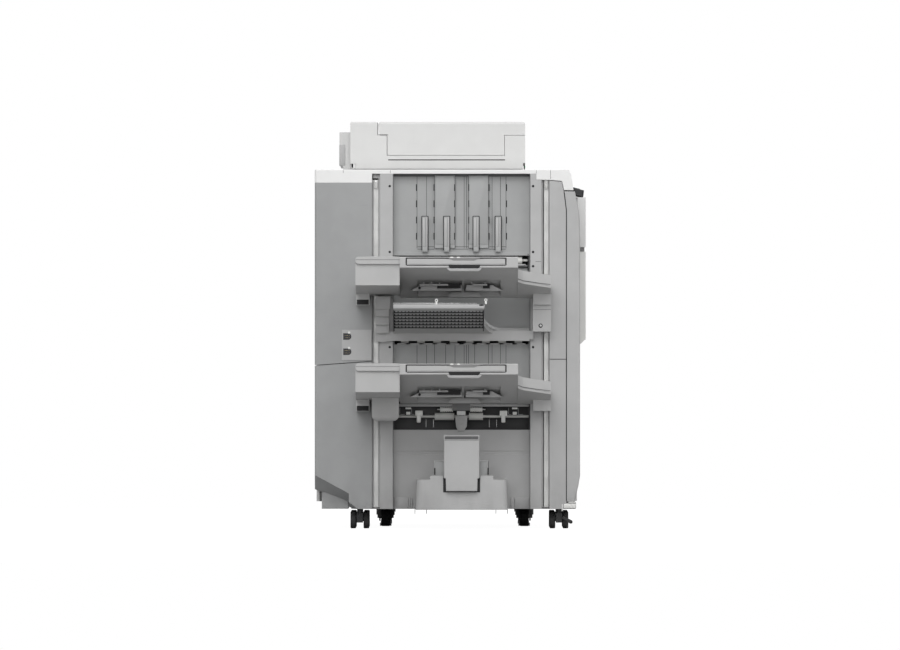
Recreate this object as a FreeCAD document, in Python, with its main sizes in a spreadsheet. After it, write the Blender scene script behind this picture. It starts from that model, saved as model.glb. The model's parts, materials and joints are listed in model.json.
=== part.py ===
"""A floor-standing colour photocopier with a stapling and booklet finisher docked to its left side.

Frame: +Z up, +X towards the operator (the machine's front), -Y towards the delivery side, where the
finisher's stacking trays stand out.  The origin is on the floor at the middle of the overall box.
All lengths are millimetres.  Every size below is a cell of the sheet "sizes"; each sub-part's features
are bound to those cells by expressions.
"""

import math
import os
import re

import FreeCAD
import Part
import Sketcher

# ---------------------------------------------------------------------------------------------------
# Driving dimensions
# ---------------------------------------------------------------------------------------------------

SIZES = {
    # Overall
    "total_depth": 789.0,
    "finisher_height": 1040.0,
    "caster_headroom": 7.3,
    "toe_height": 17.7,
    "skirt_depth": 42.0,
    "paper_entry": 870.0,
    # Widths that add up to the overall width, from the delivery side to the right side
    "tray_reach": 284.0,
    "finisher_width": 368.0,
    "dock_gap": 4.0,
    "main_width": 689.0,
    # Thicknesses and clearances
    "shell_wall": 3.0,
    "sheet_metal": 2.0,
    "panel_gap": 1.0,
    "slide_gap": 1.5,
    "overcut": 1.0,
    # Finisher, from the rear to the front
    "rear_cover_width": 166.0,
    "rail_slot": 23.0,
    "rear_column_width": 38.0,
    "front_column_width": 33.5,
    "front_cover_width": 49.5,
    "door_thickness": 39.0,
    "door_foot_gap": 4.0,
    "main_front_proud": 21.0,
    "column_depth": 60.0,
    # Finisher covers
    "seam_height": 479.0,
    "seam_rise": 10.0,
    "side_seam_height": 492.0,
    "top_cover_depth": 12.0,
    "top_cover_drop": 38.0,
    "cover_round": 7.0,
    "edge_round": 2.5,
    "plate_width": 86.0,
    "plate_height": 88.0,
    # Stacker walls and ports
    "wall_recess": 22.0,
    "band_proud": 6.0,
    "finger_proud": 13.0,
    "upper_port_height": 777.0,
    "lower_port_height": 548.0,
    "port_gap": 28.0,
    "finger_width": 16.0,
    "finger_height": 103.0,
    # Stacking trays
    "tray_top_height": 786.6,
    "tray_pitch": 306.8,
    "tray_edge_depth": 31.8,
    "tray_root_depth": 36.0,
    "tray_slope": 0.2935,
    "tray_side_gap": 20.0,
    "tray_wall_gap": 6.0,
    "housing_width": 127.0,
    "housing_face_depth": 82.6,
    "housing_band": 21.5,
    "wing_depth": 37.0,
    "extension_width": 282.0,
    "extension_depth": 18.0,
    "extension_cover": 3.5,
    "extension_length": 200.0,
    "middle_tray_drop": 137.6,
    "middle_tray_depth": 12.0,
    "middle_tray_reach": 245.0,
    # Booklet unit
    "booklet_reach": 150.0,
    "booklet_mouth_low": 286.5,
    "booklet_mouth_top": 372.5,
    "booklet_roller_height": 325.0,
    "booklet_half_width": 132.8,
    "flap_half_width": 51.0,
    "flap_rise": 53.7,
    "flap_height": 161.5,
    "flap_thickness": 12.0,
    # Exit rollers
    "shaft_radius": 4.0,
    "exit_roller_radius": 11.0,
    # Casters
    "wheel_radius": 25.0,
    "wheel_width": 16.5,
    "wheel_spacing": 38.0,
    "caster_trail": 16.0,
    "axle_radius": 3.0,
    "cup_radius": 27.0,
    "main_wheel_radius": 26.0,
    "main_wheel_width": 26.0,
    "foot_radius": 17.0,
    "main_caster_x": 11.5,
    "main_caster_half": 203.5,
    # Main unit
    "drawer_inset": 26.0,
    "shelf_inset": 49.5,
    "cassette_pitch": 102.0,
    "cassette_floor": 74.0,
    "deck_height": 246.0,
    "drawer_length": 490.0,
    "drawer_wall": 2.5,
    "front_door_base": 535.0,
    "front_door_top": 805.0,
    "toner_door_base": 818.0,
    "toner_door_thickness": 24.5,
    "reader_step": 96.0,
    "hood_rise": 20.0,
    "right_cover_thickness": 14.0,
    # Reader
    "reader_front_inset": 158.5,
    "reader_rear_inset": 49.5,
    "reader_height": 87.0,
    "glass_thickness": 4.0,
    # Document feeder
    "feeder_gap": 2.0,
    "feeder_height": 145.0,
    "feeder_front_inset": 177.5,
    "feeder_rear_inset": 92.5,
    "feeder_width": 600.0,
    "feeder_head": 262.0,
    "feeder_base": 38.0,
    "pad_thickness": 5.0,
    # Control panel
    "panel_depth": 150.0,
    "panel_front_rise": 42.5,
    "panel_pin_rise": 67.0,
    "panel_front_inset": 3.0,
    "panel_width": 300.0,
    "panel_thickness": 20.0,
    "panel_slope": 0.24,
    "key_radius": 8.0,
}

# ---------------------------------------------------------------------------------------------------
# Named places, as expressions in those sizes
# ---------------------------------------------------------------------------------------------------

PLACES = {
    "ground_clearance": "(wheel_radius * 2 + caster_headroom)",
    "floor_line": "(wheel_radius * 2 + caster_headroom + toe_height)",
    "door_foot": "(wheel_radius * 2 + caster_headroom + toe_height + door_foot_gap)",
    "flap_foot": "(wheel_radius * 2 + caster_headroom + flap_rise)",
    "main_body_front": "(total_depth / 2 - drawer_inset)",
    "shelf_front": "(total_depth / 2 - shelf_inset)",
    "frame_top": "(finisher_height - reader_step)",
    "toner_door_top": "(finisher_height - reader_step + hood_rise)",
    "reader_front": "(total_depth / 2 - reader_front_inset)",
    "reader_rear": "(total_depth / 2 - reader_rear_inset)",
    "feeder_front": "(total_depth / 2 - feeder_front_inset)",
    "feeder_rear": "(total_depth / 2 - feeder_rear_inset)",
    "panel_rear_x": "(total_depth / 2 - panel_front_inset - panel_depth)",
    "panel_front_top": "(finisher_height - reader_step + panel_front_rise)",
    "panel_pin_height": "(finisher_height - reader_step + panel_pin_rise)",
}

WIDTH = "(tray_reach + finisher_width + dock_gap + main_width)"
REAR = "(-total_depth / 2)"
FRONT = "(total_depth / 2)"
TRAY_END = f"(-{WIDTH} / 2)"
FACE = f"({TRAY_END} + tray_reach)"
FIN_BACK = f"({FACE} + finisher_width)"
MAIN_LEFT = f"({FIN_BACK} + dock_gap)"
MAIN_RIGHT = f"({WIDTH} / 2)"

REAR_SLOT = f"({REAR} + rear_cover_width)"
REAR_COLUMN = f"({REAR_SLOT} + rail_slot)"
BAY_REAR = f"({REAR_COLUMN} + rear_column_width)"
DOOR_FRONT = f"({FRONT} - main_front_proud)"
DOOR_BACK = f"({DOOR_FRONT} - door_thickness)"
FRONT_COVER = f"({DOOR_BACK} - front_cover_width)"
FRONT_SLOT = f"({FRONT_COVER} - rail_slot)"
BAY_FRONT = f"({FRONT_SLOT} - front_column_width)"
BAY_MIDDLE = f"(({BAY_REAR} + {BAY_FRONT}) / 2)"

TRAY_REAR = f"({BAY_REAR} + tray_side_gap)"
TRAY_FRONT = f"({BAY_FRONT} - tray_side_gap * 1.8)"
HOUSING_REAR = f"({TRAY_REAR} - housing_width)"
TRAY_ROOT = f"({FACE} - tray_wall_gap)"
WING_FRONT = f"({FRONT_COVER} + panel_gap)"

TOP = "finisher_height"
COVER_TOP = "(finisher_height - top_cover_drop)"
COLUMN_TOP = "(finisher_height - top_cover_depth)"
WALL_FACE = f"({FACE} + wall_recess)"

FEEDER_BASE_Z = "(finisher_height + feeder_gap)"
FEEDER_TOP = f"({FEEDER_BASE_Z} + feeder_height - feeder_gap)"
FEEDER_LEFT = f"({MAIN_LEFT} + 10)"

# ---------------------------------------------------------------------------------------------------
# Document, sheet and feature helpers
# ---------------------------------------------------------------------------------------------------

doc = FreeCAD.newDocument("photocopier")
sheet = doc.addObject("Spreadsheet::Sheet", "sizes")
for row, (alias, value) in enumerate(SIZES.items(), start=1):
    sheet.set(f"A{row}", alias)
    sheet.set(f"B{row}", str(value))
    sheet.setAlias(f"B{row}", alias)
doc.recompute()

WORD = re.compile(r"[A-Za-z_][A-Za-z_0-9]*")
NODES = {}
SETS = set()


def bind(expression):
    """Writes an expression's named places out, and its size names as cells of the sheet."""
    spelled = WORD.sub(lambda m: PLACES.get(m.group(0), m.group(0)), str(expression))
    return WORD.sub(lambda m: f"sizes.{m.group(0)}" if m.group(0) in SIZES else m.group(0), spelled)


def part(label, several=False):
    """A new body that becomes the node of that name; several allows separate solids in it."""
    body = doc.addObject("PartDesign::Body", label)
    body.Label = label
    body.AllowCompound = True
    NODES[label] = body
    if several:
        SETS.add(label)
    return body


def block(body, x, y, z, cut=False):
    """A box between two places on each axis, added to the body or cut from it."""
    box = body.newObject("PartDesign::" + ("Subtractive" if cut else "Additive") + "Box", "block")
    for size, (low, high) in zip(("Length", "Width", "Height"), (x, y, z)):
        box.setExpression(size, bind(f"({high}) - ({low})"))
    for axis, (low, _) in zip("xyz", (x, y, z)):
        box.setExpression(f"Placement.Base.{axis}", bind(low))
    return box


TURNS = {
    "x": FreeCAD.Rotation(FreeCAD.Vector(0, 1, 0), 90),
    "y": FreeCAD.Rotation(FreeCAD.Vector(1, 0, 0), -90),
    "z": FreeCAD.Rotation(),
}


def rod(body, axis, centre, radius, span, cut=False):
    """A cylinder along an axis; its centre is given on the other two axes in X, Y, Z order."""
    cylinder = body.newObject("PartDesign::" + ("Subtractive" if cut else "Additive") + "Cylinder", "rod")
    cylinder.setExpression("Radius", bind(radius))
    cylinder.setExpression("Height", bind(f"({span[1]}) - ({span[0]})"))
    cylinder.Placement = FreeCAD.Placement(FreeCAD.Vector(), TURNS[axis])
    places = dict(zip([a for a in "xyz" if a != axis], centre))
    places[axis] = span[0]
    for name, place in places.items():
        cylinder.setExpression(f"Placement.Base.{name}", bind(place))
    return cylinder


def sketch(body, plane, outline, offset):
    """A closed sketch on one of the body's planes; every corner is bound to the sheet of sizes."""
    drawing = body.newObject("Sketcher::SketchObject", "outline")
    origin = [f for f in body.Origin.OriginFeatures if f.Role == f"{plane}_Plane"][0]
    drawing.AttachmentSupport = [(origin, "")]
    drawing.MapMode = "FlatFace"
    drawing.setExpression("AttachmentOffset.Base.z", bind(offset))
    turn = 2 * math.pi / len(outline)
    corners = [FreeCAD.Vector(math.cos(turn * i), math.sin(turn * i), 0) for i in range(len(outline))]
    lines = []
    for i, corner in enumerate(corners):
        segment = Part.LineSegment(corner, corners[(i + 1) % len(corners)])
        lines.append(drawing.addGeometry(segment, False))
    for i, line in enumerate(lines):
        following = lines[(i + 1) % len(lines)]
        drawing.addConstraint(Sketcher.Constraint("Coincident", line, 2, following, 1))
    for line, corner, (a, b) in zip(lines, corners, outline):
        for kind, place, expression in (("DistanceX", corner.x, a), ("DistanceY", corner.y, b)):
            held = drawing.addConstraint(Sketcher.Constraint(kind, -1, 1, line, 1, place))
            drawing.setExpression(f"Constraints[{held}]", bind(expression))
    return drawing


def prism(body, plane, outline, span, cut=False):
    """An outline padded, or pocketed, between two places on the axis its plane leaves out."""
    low, high = span
    drawing = sketch(body, plane, outline, f"-({high})" if plane == "XZ" else low)
    feature = body.newObject("PartDesign::" + ("Pocket" if cut else "Pad"), "prism")
    feature.Profile = drawing
    feature.Reversed = cut
    feature.setExpression("Length", bind(f"({high}) - ({low})"))
    return feature


def loft(body, outline_a, y_a, outline_b, y_b):
    """A ruled solid between two XZ outlines at two places along Y."""
    first = sketch(body, "XZ", outline_a, f"-({y_a})")
    second = sketch(body, "XZ", outline_b, f"-({y_b})")
    feature = body.newObject("PartDesign::AdditiveLoft", "loft")
    feature.Profile = first
    feature.Sections = [second]
    feature.Ruled = True
    return feature


def soften(body, radius, choose):
    """Rounds the edges of the body's last feature that choose(middle, direction, box) picks."""
    doc.recompute()
    base = body.Tip
    box = base.Shape.BoundBox
    names = []
    for index, edge in enumerate(base.Shape.Edges, start=1):
        if len(edge.Vertexes) != 2:
            continue
        along = edge.Vertexes[1].Point - edge.Vertexes[0].Point
        middle = edge.valueAt((edge.FirstParameter + edge.LastParameter) / 2)
        if along.Length > 1e-6 and choose(middle, along.normalize(), box):
            names.append(f"Edge{index}")
    if not names:
        raise RuntimeError(f"{body.Label}: no edge to round")
    feature = body.newObject("PartDesign::Fillet", "rounding")
    feature.Base = (base, names)
    feature.setExpression("Radius", bind(radius))
    doc.recompute()
    return feature


def close(a, b):
    """True if two coordinates are the same place."""
    return abs(a - b) < 0.5


def shell_y(inner):
    """The span across the finisher inside its covers."""
    return (f"{FACE} + {inner}", f"{FIN_BACK} - ({inner})")


# ---------------------------------------------------------------------------------------------------
# Finisher: frame, covers and walls
# ---------------------------------------------------------------------------------------------------

ACROSS = (FACE, FIN_BACK)
GROUND = "ground_clearance"


def finisher_frame():
    body = part("finisher_frame")
    tub_y = (f"{FACE} + column_depth", FIN_BACK)
    block(body, (REAR_SLOT, FRONT_COVER), tub_y, (GROUND, COLUMN_TOP))
    inner_x = (f"{REAR_SLOT} + sheet_metal", f"{FRONT_COVER} - sheet_metal")
    inner_y = (f"{FACE} + column_depth - overcut", f"{FIN_BACK} - sheet_metal")
    block(body, inner_x, inner_y, (f"{GROUND} + sheet_metal", f"{COLUMN_TOP} - sheet_metal"), cut=True)
    plate_z = (GROUND, f"{GROUND} + sheet_metal * 2")
    block(body, (REAR_SLOT, f"{DOOR_BACK} - panel_gap"), shell_y("shell_wall + panel_gap"), plate_z)
    rear_plate_y = (f"{FACE} + skirt_depth + 4", f"{FIN_BACK} - shell_wall - panel_gap")
    block(body, (f"{REAR} + 105.5", REAR_SLOT), rear_plate_y, plate_z)
    notch_y = (f"{FACE} - overcut", f"{FACE} + column_depth")
    notch_z = (f"{GROUND} - overcut", f"{GROUND} + sheet_metal * 2 + overcut")
    block(body, (REAR_COLUMN, FRONT_SLOT), notch_y, notch_z, cut=True)
    cover_x = (f"{FRONT_SLOT} - 15", f"{FRONT_COVER} + overcut")
    block(body, cover_x, ACROSS, (f"{TOP} - 30", f"{COLUMN_TOP} + overcut"), cut=True)
    slot_y = (f"{FIN_BACK} - sheet_metal - overcut", f"{FIN_BACK} + overcut")
    block(body, (BAY_REAR, BAY_FRONT), slot_y, ("paper_entry - 8", "paper_entry + 8"), cut=True)


def rear_covers():
    upper = part("finisher_rear_upper_cover")
    seam = "seam_height + panel_gap"
    outline = [
        (REAR, f"{seam} - 6"),
        (REAR_SLOT, f"{seam} + 6"),
        (REAR_SLOT, COVER_TOP),
        (REAR, COVER_TOP),
    ]
    prism(upper, "XZ", outline, ACROSS)
    soften(upper, "cover_round", lambda m, d, b: abs(d.z) > 0.99 and close(m.x, b.XMin))
    inside_x = (f"{REAR} + shell_wall", f"{REAR_SLOT} + overcut")
    block(upper, inside_x, shell_y("shell_wall"), ("seam_height - 20", f"{COVER_TOP} + overcut"), cut=True)

    lower = part("finisher_rear_lower_cover")
    seam = "seam_height - panel_gap"
    skirt_x = f"{REAR} + 98.5"

    def skirt(edge_high, notch_high, notch_low, foot):
        return [
            (REAR, f"{seam} - 6"),
            (REAR, f"{GROUND} + {edge_high}"),
            (skirt_x, f"{GROUND} + {notch_high}"),
            (skirt_x, f"{GROUND} + {notch_low}"),
            (f"{skirt_x} + 26 - {foot}", f"{GROUND}"),
            (REAR_SLOT, f"{GROUND}"),
            (REAR_SLOT, f"{seam} + 6"),
        ]

    front = skirt("98.7", "45.2", "20.2", "0")
    back = skirt("56.7", "20.3", "6.7", "14")
    loft(lower, front, FACE, back, f"{FACE} + skirt_depth")
    prism(lower, "XZ", back, (f"{FACE} + skirt_depth", FIN_BACK))
    soften(
        lower, "cover_round", lambda m, d, b: abs(d.z) > 0.99 and close(m.x, b.XMin) and close(m.y, b.YMin)
    )
    behind = (f"{FACE} + skirt_depth + shell_wall", f"{FIN_BACK} - shell_wall")
    low_z = (f"{GROUND} - overcut", "seam_height + 20")
    block(lower, (f"{skirt_x} + 6", f"{REAR_SLOT} + overcut"), behind, low_z, cut=True)
    high_z = (f"{GROUND} + 108", "seam_height + 20")
    block(
        lower, (f"{REAR} + shell_wall", f"{REAR_SLOT} + overcut"), shell_y("shell_wall"), high_z, cut=True
    )
    foot_y = (f"{FACE} + skirt_depth - 2", f"{FIN_BACK} - shell_wall")
    block(lower, (f"{REAR} + 20", f"{REAR} + 97"), foot_y, (GROUND, f"{GROUND} + 48"))
    hollow_x = (f"{REAR} + 23", f"{REAR} + 94")
    hollow_y = (f"{FACE} + skirt_depth + 1", f"{FIN_BACK} - shell_wall * 2")
    block(lower, hollow_x, hollow_y, (f"{GROUND} - overcut", f"{GROUND} + 45"), cut=True)


def top_cover():
    body = part("finisher_top_cover")
    outline = [
        (REAR, COVER_TOP),
        (REAR_SLOT, COVER_TOP),
        (REAR_SLOT, COLUMN_TOP),
        (f"{FRONT_SLOT} - 15", COLUMN_TOP),
        (f"{FRONT_SLOT} - 15", f"{TOP} - 29"),
        (FRONT_COVER, f"{TOP} - 30"),
        (f"{DOOR_BACK} - 13.5", f"{TOP} - 33"),
        (f"{DOOR_BACK} - 7.5", f"{TOP} - 59.5"),
        (f"{DOOR_BACK} + 20", f"{TOP} - 59.5"),
        (f"{DOOR_BACK} + 13", f"{TOP} - 16"),
        (f"{DOOR_BACK} + 6", TOP),
        (REAR, TOP),
    ]
    prism(body, "XZ", outline, ACROSS)
    soften(body, "cover_round", lambda m, d, b: abs(d.z) > 0.99 and close(m.x, b.XMin))
    soften(body, "edge_round", lambda m, d, b: close(m.z, b.ZMax))
    hollows = [
        ((f"{REAR} + shell_wall", f"{REAR_SLOT} - shell_wall"), f"{COVER_TOP} - overcut"),
        ((f"{REAR_SLOT} + shell_wall", f"{FRONT_SLOT} - 18"), f"{COLUMN_TOP} - overcut"),
        ((f"{FRONT_SLOT} - 12", f"{DOOR_BACK} - 17"), f"{TOP} - 34"),
    ]
    for hollow_x, low in hollows:
        block(body, hollow_x, shell_y("shell_wall"), (low, f"{TOP} - shell_wall"), cut=True)


def front_covers():
    upper = part("finisher_front_upper_cover")
    edge = f"{DOOR_BACK} - panel_gap"
    outline = [
        (FRONT_COVER, "side_seam_height"),
        (edge, "side_seam_height"),
        (edge, f"{TOP} - 119"),
        (f"{edge} - 7.5", f"{TOP} - 62"),
        (f"{edge} - 13.5", f"{TOP} - 35"),
        (FRONT_COVER, f"{TOP} - 32"),
    ]
    prism(upper, "XZ", outline, ACROSS)
    inside_x = (f"{FRONT_COVER} + shell_wall", f"{DOOR_BACK} + overcut")
    block(upper, inside_x, shell_y("shell_wall"), ("side_seam_height - overcut", f"{TOP} - 20"), cut=True)

    lower = part("finisher_front_lower_cover")
    block(lower, (FRONT_COVER, edge), ACROSS, ("floor_line", "side_seam_height - panel_gap * 2"))
    block(lower, inside_x, shell_y("shell_wall"), ("floor_line + shell_wall", "side_seam_height"), cut=True)
    block(lower, (FRONT_COVER, f"{DOOR_BACK} + 27.5"), ACROSS, (f"{GROUND} + 6", "floor_line + 0.5"))
    toe_y = (f"{FACE}", f"{FIN_BACK}")
    block(lower, (FRONT_COVER, f"{DOOR_BACK} + 27.5"), toe_y, (f"{GROUND}", f"{GROUND} + 7"))
    soften(lower, "4", lambda m, d, b: abs(d.y) > 0.99 and close(m.x, b.XMax) and m.z < b.ZMin + 1)
    block(
        lower, (f"{FRONT_COVER} - overcut", f"{DOOR_BACK} + 20"), shell_y("shell_wall"),
        (f"{GROUND} - overcut", "floor_line - 3"), cut=True,
    )


def finisher_door():
    body = part("finisher_door")
    outline = [
        (DOOR_BACK, "door_foot"),
        (f"{DOOR_BACK} + 23.5", "door_foot"),
        (f"{DOOR_BACK} + 34", "door_foot + 45"),
        (DOOR_FRONT, "door_foot + 75"),
        (DOOR_FRONT, f"{TOP} - 175"),
        (f"{DOOR_FRONT} - 2", f"{TOP} - 132"),
        (f"{DOOR_FRONT} - 6.5", f"{TOP} - 103"),
        (f"{DOOR_FRONT} - 15", f"{TOP} - 63"),
        (f"{DOOR_BACK} - 6.5", f"{TOP} - 63"),
        (DOOR_BACK, f"{TOP} - 118"),
    ]
    prism(body, "XZ", outline, ACROSS)
    soften(
        body, "edge_round * 2", lambda m, d,
        b: m.x > b.XMax - 33 and abs(d.y) < 0.1 and not close(abs(d.x), 1),
    )
    hollow_x = (f"{DOOR_BACK} - overcut", f"{DOOR_FRONT} - shell_wall - 6")
    block(body, hollow_x, shell_y("shell_wall"), ("door_foot + 60", f"{TOP} - 130"), cut=True)


def columns_and_rails():
    body = part("rail_columns", several=True)
    for low, high in ((REAR_COLUMN, BAY_REAR), (BAY_FRONT, FRONT_SLOT)):
        block(body, (low, high), (FACE, f"{FACE} + column_depth"), (GROUND, COLUMN_TOP))
        inside_x = (f"{low} + sheet_metal", f"{high} - sheet_metal")
        inside_y = (f"{FACE} + sheet_metal", f"{FACE} + column_depth + overcut")
        block(body, inside_x, inside_y, (f"{GROUND} - overcut", f"{COLUMN_TOP} + overcut"), cut=True)
    notch_x = (f"{FRONT_SLOT} - 15", f"{FRONT_SLOT} + overcut")
    notch_y = (f"{FACE} - overcut", FIN_BACK)
    block(body, notch_x, notch_y, (f"{TOP} - 30", f"{COLUMN_TOP} + overcut"), cut=True)

    rails = part("lift_rails", several=True)
    for low in (f"{REAR_SLOT} + 5", f"{FRONT_SLOT} + 7"):
        block(
            rails, (low, f"{low} + 13"), (f"{FACE} + 10", f"{FACE} + 24"),
            (f"{GROUND} + 5", f"{COLUMN_TOP} - 18"),
        )
        foot_y = (f"{FACE} + 10", f"{FACE} + column_depth")
        for foot in (f"{GROUND} + 5", f"{COLUMN_TOP} - 48"):
            block(rails, (f"{low} + 2", f"{low} + 11"), foot_y, (foot, f"{foot} + 30"))


def screws():
    body = part("cover_screws", several=True)
    rear_x = f"{BAY_REAR} - 10"
    front_x = f"{BAY_FRONT} + 9"
    places = [(rear_x, z) for z in ("992", "801.5", "526")]
    places += [(front_x, z) for z in ("992", "801.5", "760.5", "526")]
    for x, z in places:
        rod(body, "y", (x, z), "3.4", (f"{FACE} - 1.4", FACE))


def connector_plate():
    body = part("connector_plate")
    right = f"{REAR_SLOT} - 1.5"
    left = f"{right} - plate_width"
    low = "seam_height + 9"
    block(body, (left, right), (f"{FACE} - 1.2", FACE), (low, f"{low} + plate_height"))
    for height in ("15", "59"):
        hole_z = (f"{low} + {height}", f"{low} + {height} + 19")
        block(body, (f"{left} + 4", f"{left} + 19"), (f"{FACE} - 2", f"{FACE} + 1"), hole_z, cut=True)
        rod(
            body, "y", (f"{left} + 18", f"{low} + {height} + 9.5"), "9.5", (f"{FACE} - 2", f"{FACE} + 1"),
            cut=True,
        )


def stacker_wall():
    body = part("stacker_wall")
    low = "booklet_mouth_top"
    block(body, (BAY_REAR, BAY_FRONT), (WALL_FACE, f"{WALL_FACE} + shell_wall"), (low, COLUMN_TOP))
    wall_foot = "upper_port_height + port_gap / 2"
    for offset in (-48.5, 49):
        rib_x = (f"{BAY_MIDDLE} + {offset} - 29", f"{BAY_MIDDLE} + {offset} + 29")
        rib_z = (f"{wall_foot} + 22", f"{COLUMN_TOP} - 5")
        block(body, rib_x, (f"{WALL_FACE} - band_proud", WALL_FACE), rib_z)
    edge_z = (wall_foot, f"{wall_foot} + 10")
    block(body, (BAY_REAR, BAY_FRONT), (f"{WALL_FACE} - band_proud", WALL_FACE), edge_z)
    for offset in (-106, -43, 42, 106):
        finger_x = (
            f"{BAY_MIDDLE} + {offset} - finger_width / 2", f"{BAY_MIDDLE} + {offset} + finger_width / 2"
        )
        finger_z = (f"{wall_foot} + 10", f"{wall_foot} + 10 + finger_height")
        block(body, finger_x, (f"{WALL_FACE} - finger_proud", WALL_FACE), finger_z)
    for height in ("upper_port_height", "lower_port_height"):
        port_x = (f"{BAY_REAR} + 4", f"{BAY_FRONT} - 4")
        port_z = (f"{height} - port_gap / 2", f"{height} + port_gap / 2")
        block(body, port_x, (f"{WALL_FACE} - overcut", f"{WALL_FACE} + 10"), port_z, cut=True)


def booklet_parts():
    wall = part("booklet_wall")
    block(
        wall, (BAY_REAR, BAY_FRONT), (WALL_FACE, f"{WALL_FACE} + shell_wall"), (GROUND, "booklet_mouth_low")
    )
    groove_x = (f"{BAY_REAR} + 1.5", f"{BAY_FRONT} - 1.5")
    block(wall, groove_x, (f"{WALL_FACE} - overcut", f"{WALL_FACE} + 1.5"), ("215", "225"), cut=True)
    for offset in (-76, 76):
        slot_x = (f"{BAY_MIDDLE} + {offset} - 2.5", f"{BAY_MIDDLE} + {offset} + 2.5")
        block(wall, slot_x, (f"{WALL_FACE} - overcut", f"{WALL_FACE} + 10"), ("158", "196"), cut=True)

    unit = part("booklet_exit_unit")
    unit_y = (f"{WALL_FACE} + shell_wall", f"{WALL_FACE} + 75")
    unit_z = ("booklet_mouth_low - 12", "booklet_mouth_top + 12")
    block(unit, (f"{BAY_REAR} + 1", f"{BAY_FRONT} - 1"), unit_y, unit_z)
    inside_z = ("booklet_mouth_low - 6", "booklet_mouth_top + 6")
    inside_x = (f"{BAY_REAR} + 4", f"{BAY_FRONT} - 4")
    block(unit, inside_x, (f"{WALL_FACE} - overcut", f"{WALL_FACE} + 71"), inside_z, cut=True)
    bar_x = (f"{BAY_REAR} + 3", f"{BAY_FRONT} - 3")
    block(
        unit, bar_x, (f"{WALL_FACE} + 8", f"{WALL_FACE} + 14"),
        ("booklet_mouth_top - 18", "booklet_mouth_top - 12"),
    )
    hanger_x = (f"{BAY_MIDDLE} - 8", f"{BAY_MIDDLE} + 8")
    block(
        unit, hanger_x, (f"{WALL_FACE} + 8", f"{WALL_FACE} + 72"),
        ("booklet_mouth_low - 4", "booklet_mouth_top - 13"),
    )
    shaft_at = (f"{WALL_FACE} + 24", "booklet_roller_height")
    rod(unit, "x", shaft_at, "shaft_radius + 0.4", (f"{BAY_REAR} - 5", f"{BAY_FRONT} + 5"), cut=True)

    rollers = part("booklet_exit_rollers")
    rod(rollers, "x", shaft_at, "shaft_radius", (f"{BAY_REAR} + 2", f"{BAY_FRONT} - 2"))
    for start, stop in (("- 78", "- 21"), ("+ 21", "+ 62")):
        roller_x = (f"{BAY_MIDDLE} {start}", f"{BAY_MIDDLE} {stop}")
        rod(rollers, "x", shaft_at, "exit_roller_radius", roller_x)

    tray = part("booklet_tray")
    half = "booklet_half_width"
    tray_y = (f"{FACE} - booklet_reach", f"{WALL_FACE}")
    outline = [
        (f"{BAY_MIDDLE} - {half}", GROUND),
        (f"{BAY_MIDDLE} + {half}", GROUND),
        (f"{BAY_MIDDLE} + {half} - 4", f"{GROUND} + 86.7"),
        (f"{BAY_MIDDLE} - {half} + 4", f"{GROUND} + 86.7"),
    ]
    prism(tray, "XZ", outline, tray_y)
    soften(tray, "18", lambda m, d, b: abs(d.z) > 0.9 and close(m.y, b.YMin))
    crest_y = (f"{FACE} - booklet_reach", f"{FACE} - booklet_reach + 8")
    for start, stop in (("- 91", "- 54"), ("+ 54", "+ 91")):
        crest_x = (f"{BAY_MIDDLE} {start}", f"{BAY_MIDDLE} {stop}")
        block(tray, crest_x, crest_y, (f"{GROUND} + 82", f"{GROUND} + 98.4"))
    inside_x = (f"{BAY_MIDDLE} - {half} + 10", f"{BAY_MIDDLE} + {half} - 10")
    inside_y = (f"{FACE} - booklet_reach + 8", f"{WALL_FACE} - 4")
    block(tray, inside_x, inside_y, (f"{GROUND} + 22", f"{GROUND} + 110"), cut=True)

    stop = part("booklet_stop")
    stop_y = (f"{FACE} - booklet_reach - flap_thickness - 1", f"{FACE} - booklet_reach - 1")
    stop_outline = [
        (f"{BAY_MIDDLE} - flap_half_width + 6", "flap_foot"),
        (f"{BAY_MIDDLE} + flap_half_width - 6", "flap_foot"),
        (f"{BAY_MIDDLE} + flap_half_width - 5", "flap_foot + 36"),
        (f"{BAY_MIDDLE} + flap_half_width", "flap_foot + 38"),
        (f"{BAY_MIDDLE} + flap_half_width", "flap_foot + flap_height"),
        (f"{BAY_MIDDLE} - flap_half_width", "flap_foot + flap_height"),
        (f"{BAY_MIDDLE} - flap_half_width", "flap_foot + 38"),
        (f"{BAY_MIDDLE} - flap_half_width + 5", "flap_foot + 36"),
    ]
    prism(stop, "XZ", stop_outline, stop_y)
    soften(stop, "edge_round", lambda m, d, b: close(m.y, b.YMin))
    lip_x = (f"{BAY_MIDDLE} - flap_half_width", f"{BAY_MIDDLE} + flap_half_width")
    lip_y = (f"{FACE} - booklet_reach - flap_thickness - 1", f"{FACE} - booklet_reach + 14")
    block(stop, lip_x, lip_y, ("flap_foot + flap_height - 13", "flap_foot + flap_height"))


def exit_rollers():
    for name, height in (
        ("upper_exit_rollers", "upper_port_height"), ("lower_exit_rollers", "lower_port_height")
    ):
        body = part(name)
        centre = (f"{WALL_FACE} + shell_wall + shaft_radius + 1", height)
        rod(body, "x", centre, "shaft_radius", (f"{BAY_REAR} + 0.5", f"{BAY_FRONT} - 0.5"))
        for place in range(8):
            middle = f"{BAY_MIDDLE} + ({place} - 3.5) * 47"
            rod(body, "x", centre, "exit_roller_radius", (f"{middle} - 11", f"{middle} + 11"))


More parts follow.
